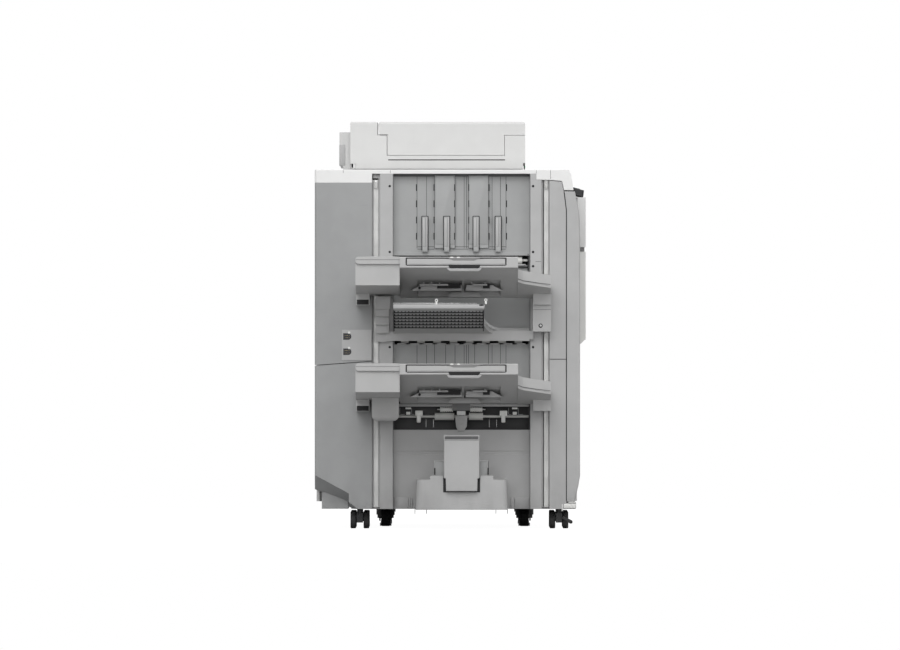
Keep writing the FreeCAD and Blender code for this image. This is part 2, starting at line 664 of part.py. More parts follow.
def staple_unit():
    body = part("staple_unit")
    low_y = f"{FACE} + column_depth + 60"
    block(body, (f"{BAY_REAR} + 20", f"{BAY_REAR} + 110"), (low_y, f"{low_y} + 120"), ("640", "742"))
    throat_y = (f"{low_y} - overcut", f"{low_y} + 45")
    block(body, (f"{BAY_REAR} + 19", f"{BAY_REAR} + 111"), throat_y, ("694", "704"), cut=True)
    guide_y = (f"{low_y} + 30", f"{low_y} + 90")
    frame = NODES["finisher_frame"]
    shelf_x = (f"{REAR_SLOT} + 1", f"{FRONT_COVER} - 1")
    block(frame, shelf_x, (f"{low_y} - 5", f"{FIN_BACK} - 1"), ("634", "639.7"))
    block(body, (f"{BAY_REAR} + 40", f"{BAY_REAR} + 90"), guide_y, ("639.7", "641"))


# ---------------------------------------------------------------------------------------------------
# Finisher: stacking trays
# ---------------------------------------------------------------------------------------------------


def on_slope(top, y, below="0"):
    """Height of a stacking tray's surface at a place along Y, or a depth below it."""
    return f"{top} - tray_slope * (({y}) - {TRAY_END}) - ({below})"


def stacking_tray(name, top, extra_foot):
    tray = part(f"{name}_tray")
    growth = "tray_root_depth"
    outline = [
        (TRAY_END, top),
        (TRAY_END, f"{top} - tray_edge_depth"),
        (TRAY_ROOT, on_slope(top, TRAY_ROOT, growth)),
        (TRAY_ROOT, on_slope(top, TRAY_ROOT)),
    ]
    prism(tray, "YZ", outline, (TRAY_REAR, TRAY_FRONT))
    soften(tray, "3", lambda m, d, b: close(m.y, b.YMin) and close(m.z, b.ZMax))
    slot_end = f"{TRAY_END} + extension_length + slide_gap"
    above = "extension_cover - slide_gap / 2"
    under = "extension_cover + extension_depth + slide_gap / 2"
    start = f"{TRAY_END} - overcut"
    slot = [
        (start, on_slope(top, start, above)),
        (start, on_slope(top, start, under)),
        (slot_end, on_slope(top, slot_end, under)),
        (slot_end, on_slope(top, slot_end, above)),
    ]
    half = f"extension_width / 2"
    middle = f"({TRAY_REAR} + {TRAY_FRONT}) / 2 - 8"
    slot_x = (f"{middle} - {half} - slide_gap / 2", f"{middle} + {half} + slide_gap / 2")
    prism(tray, "YZ", slot, slot_x, cut=True)
    pocket_start = f"{TRAY_END} + 112"
    pocket_step = f"{TRAY_END} + 212"
    pocket_end = f"{TRAY_ROOT} - 14"
    pocket = [
        (pocket_start, on_slope(top, pocket_start, "60")),
        (pocket_start, on_slope(top, pocket_start, "28")),
        (pocket_step, on_slope(top, pocket_step, "28")),
        (f"{pocket_step} + 6", on_slope(top, f"{pocket_step} + 6", "10")),
        (pocket_end, on_slope(top, pocket_end, "10")),
        (pocket_end, on_slope(top, pocket_end, "60")),
    ]
    for pocket_x in (
        (f"{TRAY_REAR} + 50", f"{BAY_MIDDLE} + 1"), (f"{BAY_MIDDLE} + 7", f"{BAY_MIDDLE} + 112")
    ):
        prism(tray, "YZ", pocket, pocket_x, cut=True)

    housing = part(f"{name}_tray_housing")
    housing_front = f"{TRAY_REAR} - 0.3"
    edge = f"{TRAY_END} + 3"
    face = f"{TRAY_END} + 9"
    profile = [
        (edge, f"{top}"),
        (edge, f"{top} - housing_band"),
        (face, f"{top} - housing_band - 0.5"),
        (face, f"{top} - housing_face_depth"),
        (f"{face} + 60", f"{top} - housing_face_depth - 8"),
        (TRAY_ROOT, on_slope(top, TRAY_ROOT, "30")),
        (TRAY_ROOT, on_slope(top, TRAY_ROOT)),
    ]
    prism(housing, "YZ", profile, (HOUSING_REAR, f"{TRAY_REAR}"))
    soften(
        housing, "9", lambda m, d,
        b: close(m.x, b.XMin) and abs(d.x) < 0.01 and m.z > b.ZMax - 80 and abs(d.z) < 0.5,
    )
    block(
        housing, (HOUSING_REAR, f"{HOUSING_REAR} + 39"), (f"{TRAY_ROOT} - 60", TRAY_ROOT),
        (f"{top} - 139", f"{top} - 95"),
    )
    slider = (f"{REAR_SLOT} + 3", f"{REAR_SLOT} + 20")
    block(housing, slider, (f"{TRAY_ROOT} - 2", f"{FACE} + 9.3"), (f"{top} - 112", f"{top} - 85"))
    if extra_foot:
        foot_y = (f"{TRAY_ROOT} - 120", TRAY_ROOT)
        block(housing, (REAR_SLOT, f"{TRAY_REAR} - 3"), foot_y, (f"{top} - 166.6", f"{top} - 90"))
        soften(housing, "16", lambda m, d, b: close(m.z, b.ZMin) and abs(d.z) < 0.1)

    arm = part(f"{name}_tray_arm")
    wing = [
        (TRAY_ROOT, on_slope(top, TRAY_ROOT, "0")),
        (f"{TRAY_END} + 105", on_slope(top, f"{TRAY_END} + 105", "0")),
        (f"{TRAY_END} + 105", on_slope(top, f"{TRAY_END} + 105", "wing_depth")),
        (TRAY_ROOT, on_slope(top, TRAY_ROOT, "wing_depth")),
    ]
    prism(arm, "YZ", wing, (TRAY_FRONT, f"{WING_FRONT} + 2"))
    sweep = [
        (f"{TRAY_FRONT} - overcut", f"{TRAY_END}"),
        (f"{WING_FRONT} + 10", f"{TRAY_END}"),
        (f"{WING_FRONT} + 10", f"{TRAY_END} + 184"),
        (f"{TRAY_FRONT} + 52", f"{TRAY_END} + 158"),
        (f"{TRAY_FRONT} + 14", f"{TRAY_END} + 138"),
        (f"{TRAY_FRONT} - overcut", f"{TRAY_END} + 118"),
    ]
    prism(arm, "XY", sweep, (f"{top} - 200", f"{top} + 20"), cut=True)
    block(
        arm, (f"{FRONT_SLOT} - 25", f"{WING_FRONT} + 3"), (f"{TRAY_ROOT} - 42", TRAY_ROOT),
        (f"{top} - 138", f"{top} - 90"),
    )
    slider = (f"{FRONT_SLOT} + 5", f"{FRONT_SLOT} + 20")
    block(arm, slider, (f"{TRAY_ROOT} - 2", f"{FACE} + 9.3"), (f"{top} - 126", f"{top} - 92"))

    extension = part(f"{name}_tray_extension")
    end = f"{TRAY_END} + extension_length"
    low = "extension_cover + extension_depth"
    slab = [
        (TRAY_END, on_slope(top, TRAY_END, "extension_cover")),
        (TRAY_END, on_slope(top, TRAY_END, low)),
        (end, on_slope(top, end, low)),
        (end, on_slope(top, end, "extension_cover")),
    ]
    prism(extension, "YZ", slab, (f"{middle} - {half}", f"{middle} + {half}"))
    finger_y = (f"{TRAY_END} - overcut", f"{TRAY_END} + 12")
    grip_z = (f"{top} - {low} - 2", f"{top} - {low} + 7")
    block(extension, (f"{middle} - 26", f"{middle} + 64"), finger_y, grip_z, cut=True)


def middle_tray():
    body = part("middle_tray")
    top = "tray_top_height - middle_tray_drop"
    end = f"{FACE} - middle_tray_reach"
    root = f"{WALL_FACE} - band_proud"
    outline = [
        (end, top),
        (end, f"{top} - middle_tray_depth"),
        (root, f"{top} - tray_slope * (({root}) - ({end})) - middle_tray_depth - 4"),
        (root, f"{top} - tray_slope * (({root}) - ({end}))"),
    ]
    prism(body, "YZ", outline, (f"{BAY_REAR} + 1", f"{BAY_FRONT} - 1"))
    curve = [
        (f"{BAY_FRONT} - 133", f"{end} - 5"),
        (f"{BAY_FRONT} + 40", f"{end} - 5"),
        (f"{BAY_FRONT} + 40", f"{FACE} + 10"),
        (f"{BAY_FRONT} - 88", f"{FACE} + 6"),
        (f"{BAY_FRONT} - 105", f"{FACE} - 8"),
        (f"{BAY_FRONT} - 118", f"{FACE} - 30"),
        (f"{BAY_FRONT} - 127", f"{FACE} - 55"),
        (f"{BAY_FRONT} - 133", f"{FACE} - 85"),
    ]
    prism(body, "XY", curve, (f"{top} - 150", f"{top} + 20"), cut=True)
    rib_z = (f"{top} - 105", f"{top} - 75")
    block(body, (f"{BAY_REAR} + 1", f"{BAY_FRONT} - 1"), (f"{FACE} - 14", f"{FACE} + 10"), rib_z)
    rear_x = (f"{REAR_SLOT} + 11", f"{BAY_REAR} - 8")
    block(body, rear_x, (f"{FACE} - 46", f"{FACE}"), (f"{top} - 13", f"{top} + 23"))
    for low, high, reach in (
        ("34", "13", "40"), ("58", "34", "30"), ("82", "58", "20"), ("108", "82", "10")
    ):
        block(
            body, (f"{REAR_SLOT} + 11", f"{BAY_REAR} - 12"), (f"{FACE} - {reach}", FACE),
            (f"{top} - {low}", f"{top} - {high}"),
        )
    block(
        body, (f"{BAY_REAR} - 20", f"{BAY_REAR} + 6"), (f"{FACE} - 14", FACE),
        (f"{top} - 105", f"{top} - 78"),
    )
    block(
        body, (f"{BAY_FRONT} + 8", f"{FRONT_COVER} + 4"), (f"{FACE} - 40", FACE),
        (f"{top} - 78", f"{top} - 1"),
    )
    block(
        body, (f"{BAY_FRONT} - 4", f"{BAY_FRONT} + 10"), (f"{FACE} - 14", FACE),
        (f"{top} - 100", f"{top} - 76"),
    )


# ---------------------------------------------------------------------------------------------------
# Finisher: casters
# ---------------------------------------------------------------------------------------------------


def twin_wheels(body, x, y):
    for side in ("-", "+"):
        middle = f"{x} {side} wheel_spacing / 2"
        rod(
            body, "x", (y, "wheel_radius"), "wheel_radius",
            (f"{middle} - wheel_width / 2", f"{middle} + wheel_width / 2"),
        )
    rod(
        body, "x", (y, "wheel_radius"), "axle_radius",
        (f"{x} - wheel_spacing / 2", f"{x} + wheel_spacing / 2"),
    )


def yoke(body, x, pivot_y, axle_y):
    rod(body, "z", (x, pivot_y), "8", ("wheel_radius + 12", GROUND))
    block(
        body, (f"{x} - 9", f"{x} + 9"), (f"{pivot_y} - 9", f"{axle_y} + 8"),
        ("wheel_radius - 8", "wheel_radius + 20"),
    )
    rod(body, "x", (axle_y, "wheel_radius"), "axle_radius + 0.4", (f"{x} - 20", f"{x} + 20"), cut=True)


def casters():
    near_y = f"{FACE} + 60"
    far_y = f"{FIN_BACK} - 70"
    places = (("rear", f"{REAR} + 130"), ("front", f"{FRONT_COVER} + 28"))
    for name, x in places:
        yoke(part(f"{name}_swivel_yoke"), x, near_y, f"{near_y} + caster_trail")
        twin_wheels(part(f"{name}_swivel_wheels"), x, f"{near_y} + caster_trail")
    yokes = part("fixed_caster_yokes", several=True)
    wheels = part("fixed_caster_wheels", several=True)
    for _, x in places:
        yoke(yokes, x, far_y, f"{far_y} + caster_trail")
        twin_wheels(wheels, x, f"{far_y} + caster_trail")


# ---------------------------------------------------------------------------------------------------
# Main unit
# ---------------------------------------------------------------------------------------------------

SIDE_Y = (f"{MAIN_LEFT}", f"{MAIN_RIGHT} - right_cover_thickness")
BAY_Y = (f"{MAIN_LEFT} + 45", f"{MAIN_RIGHT} - 45 - right_cover_thickness")
BAY_X = ("main_body_front - drawer_length - 4", "shelf_front + overcut")
DECK_FLOOR = "cassette_floor + cassette_pitch * 2"


def main_frame():
    body = part("main_frame")
    block(body, (f"{REAR} + 10", "shelf_front"), SIDE_Y, ("cassette_floor", "frame_top"))
    hood_x = ("shelf_front - overcut", f"{FRONT} - toner_door_thickness - panel_gap")
    block(body, hood_x, SIDE_Y, ("toner_door_base", "toner_door_top"))
    for level in range(2):
        low = f"cassette_floor + cassette_pitch * {level} + 3"
        block(body, BAY_X, BAY_Y, (low, f"{low} + cassette_pitch - 5"), cut=True)
    middle = f"({MAIN_LEFT} + {MAIN_RIGHT} - right_cover_thickness) / 2"
    for deck_y in ((BAY_Y[0], f"{middle} - 2"), (f"{middle} + 2", BAY_Y[1])):
        block(body, BAY_X, deck_y, (f"{DECK_FLOOR} + 3", f"{DECK_FLOOR} + deck_height - 3"), cut=True)
    engine_y = (f"{MAIN_LEFT} + 4", f"{MAIN_RIGHT} - right_cover_thickness - 4")
    block(
        body, ("-150", "shelf_front + overcut"), engine_y, ("front_door_base - 6", "front_door_top + 3"),
        cut=True,
    )
    block(body, ("-150", FRONT), engine_y, ("toner_door_base - 3", "frame_top - 4"), cut=True)
    void_y = (f"{MAIN_LEFT} + 3", f"{MAIN_RIGHT} - right_cover_thickness - 3")
    block(body, (f"{REAR} + 9", "-155"), void_y, ("cassette_floor + 3", "frame_top - 3"), cut=True)
    for low, high in ((void_y[0], f"{BAY_Y[0]} - 3"), (f"{BAY_Y[1]} + 3", void_y[1])):
        block(
            body, ("-156", "shelf_front - 4"), (low, high), ("cassette_floor + 3", "front_door_base - 9"),
            cut=True,
        )
    block(
        body, ("shelf_front - overcut", "main_body_front - 6"), SIDE_Y,
        ("front_door_base - 11", "front_door_base - 2"),
    )
    block(
        body, ("shelf_front - 8", f"{FRONT} - 4"), SIDE_Y, ("front_door_top + 1.5", "toner_door_base - 1.5")
    )
    block(body, (f"{REAR} + 40", f"{REAR} + 80"), (FIN_BACK, f"{MAIN_LEFT} + overcut"), ("600", "640"))
    block(body, ("200", "240"), (FIN_BACK, f"{MAIN_LEFT} + overcut"), ("600", "640"))
    block(
        body, (BAY_REAR, BAY_FRONT), (f"{MAIN_LEFT} - overcut", f"{MAIN_LEFT} + 13"),
        ("paper_entry - 8", "paper_entry + 8"), cut=True,
    )
    rail_y = f"({MAIN_LEFT} + 330)"
    post_x = ("panel_rear_x + 2.5", "panel_rear_x + 12.5")
    pin_z = "panel_pin_height"
    block(body, ("reader_front - 20", "shelf_front"), SIDE_Y, ("frame_top - 1", "frame_top + 14"))
    block(body, post_x, (f"{rail_y} - 28", f"{rail_y} + 28"), ("frame_top", f"{pin_z} + 6"))
    rod(body, "y", ("panel_rear_x + 7.5", pin_z), "3", (f"{rail_y} - 45", f"{rail_y} + 45"))


def main_covers():
    rear = part("main_rear_cover")
    block(rear, (f"{REAR} + 1", f"{REAR} + 10"), (MAIN_LEFT, MAIN_RIGHT), ("cassette_floor", "frame_top"))
    inner_y = (f"{MAIN_LEFT} + 3", f"{MAIN_RIGHT} - 3")
    block(rear, (f"{REAR} + 4", f"{REAR} + 11"), inner_y, ("cassette_floor + 3", "frame_top - 3"), cut=True)
    for index in range(6):
        low = f"700 + {index} * 14"
        block(rear, (f"{REAR}", f"{REAR} + 5"), ("120", "260"), (low, f"{low} + 6"), cut=True)
    right = part("main_right_cover")
    right_y = (f"{MAIN_RIGHT} - right_cover_thickness", MAIN_RIGHT)
    block(right, (f"{REAR} + 10", "shelf_front"), right_y, ("cassette_floor", "frame_top"))
    inner_y = (f"{MAIN_RIGHT} - right_cover_thickness - overcut", f"{MAIN_RIGHT} - shell_wall")
    block(
        right, (f"{REAR} + 13", "shelf_front - 3"), inner_y, ("cassette_floor + 3", "frame_top - 3"),
        cut=True,
    )
    block(right, ("-150", "250"), (f"{MAIN_RIGHT} - 20", f"{MAIN_RIGHT} + 1"), ("330", "800"), cut=True)


def doors():
    door_y = (f"{MAIN_LEFT} + 2", f"{MAIN_RIGHT} - 2")
    front_x = FRONT
    door = part("front_door")
    outline = [
        ("shelf_front + panel_gap", "front_door_base"),
        (f"{front_x} - 14.5", "front_door_base"),
        (front_x, "front_door_base + 15"),
        (front_x, "front_door_top"),
        ("shelf_front + panel_gap", "front_door_top"),
    ]
    prism(door, "XZ", outline, door_y)
    soften(door, "edge_round", lambda m, d, b: close(m.x, b.XMax))
    inside_y = (f"{MAIN_LEFT} + 2 + shell_wall", f"{MAIN_RIGHT} - 2 - shell_wall")
    block(
        door, ("shelf_front", f"{front_x} - shell_wall - 10"), inside_y,
        ("front_door_base + 8", "front_door_top - 6"), cut=True,
    )
    block(
        door, (f"{front_x} - 1", f"{front_x} + 1"), (f"{MAIN_LEFT}", MAIN_RIGHT), ("699.5", "701"), cut=True
    )
    toner = part("toner_door")
    back_x = f"{front_x} - toner_door_thickness"
    block(toner, (back_x, front_x), door_y, ("toner_door_base", "toner_door_top"))
    soften(toner, "edge_round", lambda m, d, b: close(m.x, b.XMax))
    inside_z = ("toner_door_base + 6", "toner_door_top - 4")
    block(toner, (f"{back_x} - overcut", f"{front_x} - shell_wall"), inside_y, inside_z, cut=True)


def drawer(name, low, high, y):
    body = part(name)
    front_y = (f"{y[0]} + panel_gap", f"{y[1]} - panel_gap")
    block(
        body, ("shelf_front + panel_gap", "main_body_front"), front_y,
        (f"{low} + panel_gap", f"{high} - panel_gap"),
    )
    soften(body, "edge_round", lambda m, d, b: close(m.x, b.XMax))
    grip_y = (f"({y[0]} + {y[1]}) / 2 - 70", f"({y[0]} + {y[1]}) / 2 + 70")
    block(
        body, ("main_body_front - 14", "main_body_front + 1"), grip_y, (f"{high} - 34", f"{high} - 12"),
        cut=True,
    )
    return body


def drawers():
    inset = "slide_gap"
    full = (f"{MAIN_LEFT} + 1", f"{MAIN_RIGHT} - 1")
    middle = f"({MAIN_LEFT} + {MAIN_RIGHT} - right_cover_thickness) / 2"
    cassettes = (("lower_cassette", 0), ("upper_cassette", 1))
    trays = []
    for name, level in cassettes:
        low = f"cassette_floor + cassette_pitch * {level}"
        box_y = (f"{BAY_Y[0]} + {inset}", f"{BAY_Y[1]} - {inset}")
        trays.append((name, low, f"{low} + cassette_pitch", full, box_y, f"{low} + 70"))
    decks = (
        ("left_deck", (full[0], middle), (f"{BAY_Y[0]} + {inset}", f"{middle} - 2 - {inset}")),
        ("right_deck", (middle, full[1]), (f"{middle} + 2 + {inset}", f"{BAY_Y[1]} - {inset}")),
    )
    for name, face_y, box_y in decks:
        trays.append(
            (name, DECK_FLOOR, f"{DECK_FLOOR} + deck_height", face_y, box_y, f"{DECK_FLOOR} + 195")
        )
    for name, low, high, face_y, box_y, rim in trays:
        body = drawer(name, low, high, face_y)
        box_x = ("main_body_front - drawer_length", "shelf_front + 2")
        block(body, box_x, box_y, (f"{low} + 3.5", rim))
        inner_x = ("main_body_front - drawer_length + drawer_wall", "shelf_front - 1")
        inner_y = (f"{box_y[0]} + drawer_wall", f"{box_y[1]} - drawer_wall")
        block(body, inner_x, inner_y, (f"{low} + 3.5 + drawer_wall", f"{high}"), cut=True)


def right_side():
    door = part("right_door")
    door_y = (f"{MAIN_RIGHT} - right_cover_thickness + 1", MAIN_RIGHT)
    block(door, ("-148", "248"), door_y, ("332", "798"))
    soften(door, "edge_round", lambda m, d, b: close(m.y, b.YMax))
    inner_y = (f"{MAIN_RIGHT} - right_cover_thickness", f"{MAIN_RIGHT} - shell_wall")
    block(door, ("-145", "245"), inner_y, ("335", "795"), cut=True)
    block(door, ("-128", "208"), (f"{MAIN_RIGHT} - 20", f"{MAIN_RIGHT} + 1"), ("486", "702"), cut=True)
    tray = part("bypass_tray")
    block(tray, ("-126", "206"), (f"{MAIN_RIGHT} - 10", MAIN_RIGHT), ("488", "700"))
    block(tray, ("-110", "190"), (f"{MAIN_RIGHT} - 11", f"{MAIN_RIGHT} - 5"), ("500", "690"), cut=True)


def reader():
    case = part("reader_case")
    case_y = (f"{MAIN_LEFT} + 6", f"{MAIN_RIGHT} - 6")
    high = "frame_top + reader_height"
    block(case, ("-reader_rear", "reader_front - 22"), case_y, ("frame_top", high))
    inner_x = ("-reader_rear + 4", "reader_front - 26")
    inner_y = (f"{MAIN_LEFT} + 10", f"{MAIN_RIGHT} - 10")
    block(case, inner_x, inner_y, ("frame_top + 4", f"{high} - 6"), cut=True)
    block(case, ("reader_front - 23", "reader_front"), case_y, ("frame_top + 14", high))
    soften(
        case, "edge_round * 2", lambda m, d,
        b: abs(d.z) > 0.99 and (close(m.x, b.XMax) or close(m.x, b.XMin)),
    )
    window_x = ("-130", "190")
    window_y = (f"{MAIN_LEFT} + 120", f"{MAIN_LEFT} + 600")
    block(case, window_x, window_y, (f"{high} - 7", f"{high} + 1"), cut=True)
    glass = part("platen_glass")
    ledge_x = ("-136", "196")
    ledge_y = (f"{MAIN_LEFT} + 114", f"{MAIN_LEFT} + 606")
    block(case, ledge_x, ledge_y, (f"{high} - glass_thickness", f"{high} + 1"), cut=True)
    block(glass, ledge_x, ledge_y, (f"{high} - glass_thickness", high))
    carriage = part("scan_carriage")
    block(
        carriage, ("-150", "205"), (f"{MAIN_LEFT} + 60", f"{MAIN_LEFT} + 118"),
        ("frame_top + 20", "frame_top + 62"),
    )
    block(
        carriage, ("-140", "195"), (f"{MAIN_LEFT} + 84", f"{MAIN_LEFT} + 94"),
        ("frame_top + 50", "frame_top + 63"), cut=True,
    )
    rod(case, "y", ("150", "frame_top + 36"), "6", (f"{MAIN_LEFT} + 8", f"{MAIN_RIGHT} - 8"))
    rod(case, "y", ("-100", "frame_top + 36"), "6", (f"{MAIN_LEFT} + 8", f"{MAIN_RIGHT} - 8"))
    for x in ("150", "-100"):
        rod(
            carriage, "y", (x, "frame_top + 36"), "6.4", (f"{MAIN_LEFT} + 50", f"{MAIN_LEFT} + 130"),
            cut=True,
        )


def feeder():
    body = part("adf_body")
    base = FEEDER_BASE_Z
    left = FEEDER_LEFT
    right = f"{FEEDER_LEFT} + feeder_width"
    head_y = (left, f"{left} + feeder_head")
    block(
        body, ("-feeder_rear + 7", "feeder_front"), (left, right), (f"{base} + 5", f"{base} + feeder_base")
    )
    soften(body, "24", lambda m, d, b: abs(d.z) > 0.99 and close(m.x, b.XMin))
    block(body, ("-feeder_rear + 7", "-215"), head_y, (f"{base} + 20", FEEDER_TOP))
    soften(body, "24", lambda m, d, b: abs(d.z) > 0.99 and close(m.x, b.XMin) and m.z > b.ZMax - 60)
    soften(body, "edge_round * 2", lambda m, d, b: close(m.z, b.ZMax) and m.x < b.XMax - 100)
    block(body, ("-216", "-188"), head_y, (f"{base} + 20", f"{FEEDER_TOP} - 40"))
    block(body, ("157", "feeder_front"), head_y, (f"{base} + 20", f"{FEEDER_TOP} - 40"))
    block(
        body, ("-feeder_rear - 25", "-feeder_rear + 20"), (f"{left} + 40", f"{left} + 110"),
        (f"{base} + 17", f"{FEEDER_TOP} - 30"),
    )
    block(
        body, ("-feeder_rear - 25", "-feeder_rear + 20"), (f"{right} - 110", f"{right} - 40"),
        (f"{base} + 17", f"{FEEDER_TOP} - 30"),
    )
    block(
        body, ("-feeder_rear - 14", "-feeder_rear + 20"), (f"{left} + 40", f"{left} + 110"),
        (f"{base} + 4", f"{base} + 18"),
    )
    block(
        body, ("-feeder_rear - 14", "-feeder_rear + 20"), (f"{right} - 110", f"{right} - 40"),
        (f"{base} + 4", f"{base} + 18"),
    )
    block(
        body, ("feeder_front - 6", "feeder_front - 0.5"), (left, right), (f"{base} + 4", f"{base} + 22"),
        cut=True,
    )
    pad_y = (f"{MAIN_LEFT} + 100", f"{MAIN_LEFT} + 595")
    block(body, ("-140", "200"), pad_y, (f"{base} - pad_thickness * 2", f"{base} + 6"))
    hollow_y = (f"{left} + shell_wall", f"{right} - shell_wall")
    for hollow_x in (("-feeder_rear + 11", "-145"), ("-135", "195"), ("205", "feeder_front - 10")):
        block(body, hollow_x, hollow_y, (f"{base} + 9", f"{base} + feeder_base - 4"), cut=True)
    tray_y = (f"{left} + feeder_head + 10", f"{right} - 6")
    tray = [
        (tray_y[0], f"{base} + feeder_base - 2"),
        (tray_y[1], f"{base} + feeder_base - 2"),
        (tray_y[1], f"{base} + feeder_base + 70"),
        (f"{tray_y[1]} - 12", f"{base} + feeder_base + 70"),
        (tray_y[0], f"{base} + feeder_base + 18"),
    ]
    prism(body, "YZ", tray, ("-190", "160"))
    under_y = (f"{left} + feeder_head - 2", f"{right} - 40")
    under = [
        (under_y[0], f"{base} + feeder_base"),
        (under_y[1], f"{base} + feeder_base"),
        (under_y[1], f"{base} + feeder_base + 52"),
        (f"{left} + feeder_head + 30", f"{base} + feeder_base + 8"),
        (under_y[0], f"{base} + feeder_base + 8"),
    ]
    prism(body, "YZ", under, ("-178", "161"), cut=True)

    cover = part("adf_feeder_cover")
    low = f"{base} + feeder_base + 7"
    block(body, ("-189", "158"), head_y, (f"{base} + feeder_base - 1", f"{low} - panel_gap"))
    upper = [
        ("-186.5", low),
        ("156", low),
        ("156", f"{FEEDER_TOP} - 39"),
        ("feeder_front", f"{FEEDER_TOP} - 39"),
        ("feeder_front", f"{FEEDER_TOP}"),
        ("-214", f"{FEEDER_TOP}"),
        ("-210", f"{FEEDER_TOP} - 39"),
        ("-186.5", f"{FEEDER_TOP} - 39"),
    ]
    prism(cover, "XZ", upper, head_y)
    soften(cover, "edge_round * 3", lambda m, d, b: close(m.z, b.ZMax) and not close(m.y, b.YMax))
    hollow = (f"{left} + shell_wall", f"{left} + feeder_head - shell_wall")
    block(cover, ("-180", "150"), hollow, (f"{low} - overcut", f"{FEEDER_TOP} - shell_wall"), cut=True)


def control_panel():
    body = part("control_panel")
    middle = f"({MAIN_LEFT} + 330)"
    rear = "panel_rear_x"
    front = f"({FRONT} - panel_front_inset)"
    top = "panel_front_top"
    outline = [
        (front, top),
        (f"{front} - 2", f"{top} - panel_thickness"),
        (rear, f"{top} - panel_thickness + panel_slope * ({front} - {rear})"),
        (rear, f"{top} + panel_slope * ({front} - {rear})"),
    ]
    span = (f"{middle} - panel_width / 2", f"{middle} + panel_width / 2")
    prism(body, "XZ", outline, span)
    soften(body, "8", lambda m, d, b: abs(d.z) > 0.9 and m.x > b.XMax - 3)
    soften(body, "1.5", lambda m, d, b: m.x > b.XMax - 3 and abs(d.y) > 0.9)
    block(
        body, (f"{rear} - 1", f"{rear} + 26"), (f"{middle} - 29", f"{middle} + 29"),
        ("frame_top", "frame_top + 120"), cut=True,
    )
    rod(
        body, "y", (f"{rear} + 7.5", "panel_pin_height"), "3.4", (f"{middle} - 46", f"{middle} + 46"),
        cut=True,
    )
    key_x = f"({rear} + 40)"
    key_top = f"{top} + panel_slope * ({front} - {key_x})"
    key_y = f"{middle} + panel_width / 2 - 26"
    rod(body, "z", (key_x, key_y), "key_radius + 0.4", (f"{key_top} - 8", f"{key_top} + 10"), cut=True)
    key = part("start_button")
    rod(key, "z", (key_x, key_y), "key_radius", (f"{key_top} - 4.5", f"{key_top} + 2.6"))


def supplies():
    bottles = part("toner_bottles", several=True)
    drums = part("drum_units", several=True)
    for index in range(4):
        y = f"{MAIN_LEFT} + 110 + {index} * 150"
        rod(bottles, "x", (y, "(toner_door_base + frame_top) / 2"), "42", ("-150", "330"))
        rod(drums, "x", (f"{y} - 20", "640"), "30", ("-150", "325"))
        block(drums, ("-150", "320"), (f"{y} - 10", f"{y} + 60"), ("620", "690"))


def main_feet():
    cups = part("main_caster_cups", several=True)
    near_wheels = part("main_wheels_near", several=True)
    far_wheels = part("main_wheels_far", several=True)
    feet = part("leveling_feet", several=True)
    rows = ((near_wheels, f"{MAIN_LEFT} + 70", "+"), (far_wheels, f"{MAIN_RIGHT} - 90", "-"))
    for wheels, y, inward in rows:
        for x in ("main_caster_x - main_caster_half", "main_caster_x + main_caster_half"):
            rod(cups, "z", (x, y), "cup_radius", ("34", "cassette_floor"))
            rod(cups, "z", (x, y), "cup_radius - 3", ("24", "35"))
            rod(cups, "z", (x, y), "cup_radius - 8", ("16", "25"))
            slot_x = (f"{x} - main_wheel_width / 2 - 1.5", f"{x} + main_wheel_width / 2 + 1.5")
            slot_y = (f"{y} - main_wheel_radius - 3", f"{y} + main_wheel_radius + 3")
            block(cups, slot_x, slot_y, ("5", "main_wheel_radius * 2 + 3"), cut=True)
            rod(cups, "x", (y, "main_wheel_radius"), "axle_radius", (f"{x} - 18", f"{x} + 18"))
            half = "main_wheel_width / 2"
            rod(
                wheels, "x", (y, "main_wheel_radius"), "main_wheel_radius",
                (f"{x} - {half}", f"{x} + {half}"),
            )
            rod(
                wheels, "x", (y, "main_wheel_radius"), "axle_radius + 0.4", (f"{x} - 20", f"{x} + 20"),
                cut=True,
            )
            foot_at = (x, f"{y} {inward} 70")
            rod(feet, "z", foot_at, "foot_radius", ("0", "9"))
            rod(feet, "z", foot_at, "6", ("8", "cassette_floor"))


# ---------------------------------------------------------------------------------------------------
# Build, check and export
# ---------------------------------------------------------------------------------------------------


def build():
    finisher_frame()
    rear_covers()
    top_cover()
    front_covers()
    finisher_door()
    columns_and_rails()
    screws()
    connector_plate()
    stacker_wall()
    booklet_parts()
    exit_rollers()
    staple_unit()
    stacking_tray("upper", "tray_top_height", extra_foot=False)
    stacking_tray("lower", "(tray_top_height - tray_pitch)", extra_foot=True)
    middle_tray()
    casters()
    main_frame()
    main_covers()
    doors()
    drawers()
    right_side()
    reader()
    feeder()
    control_panel()
    supplies()
    main_feet()
    doc.recompute()


def export():
    """Checks every object and writes each node's STEP file."""
    bad = [o.Label for o in doc.Objects if {"Invalid", "Error"} & set(o.State)]
    for label, node in NODES.items():
        if node.Shape.isNull() or not node.Shape.isValid():
            bad.append(label)
        elif len(node.Shape.Solids) > 1 and label not in SETS:
            bad.append(f"{label} in {len(node.Shape.Solids)} pieces")
    if bad:
        raise RuntimeError(f"these objects failed: {sorted(set(bad))}")
    os.makedirs("parts", exist_ok=True)
    for label, node in NODES.items():
        node.Shape.exportStep(f"parts/{label}.step")


build()
export()
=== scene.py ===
"""Looks for a floor-standing photocopier with a stapling and booklet finisher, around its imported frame.

The frame's axes are +Z up, +X towards the operator and -Y towards the delivery side, where the stacking
trays stand out.  Places and sizes in this script are millimetres; a Shaper turns them into metres when
its piece is finished.  Finishes read the object's own coordinates, so their scales are per metre.
"""

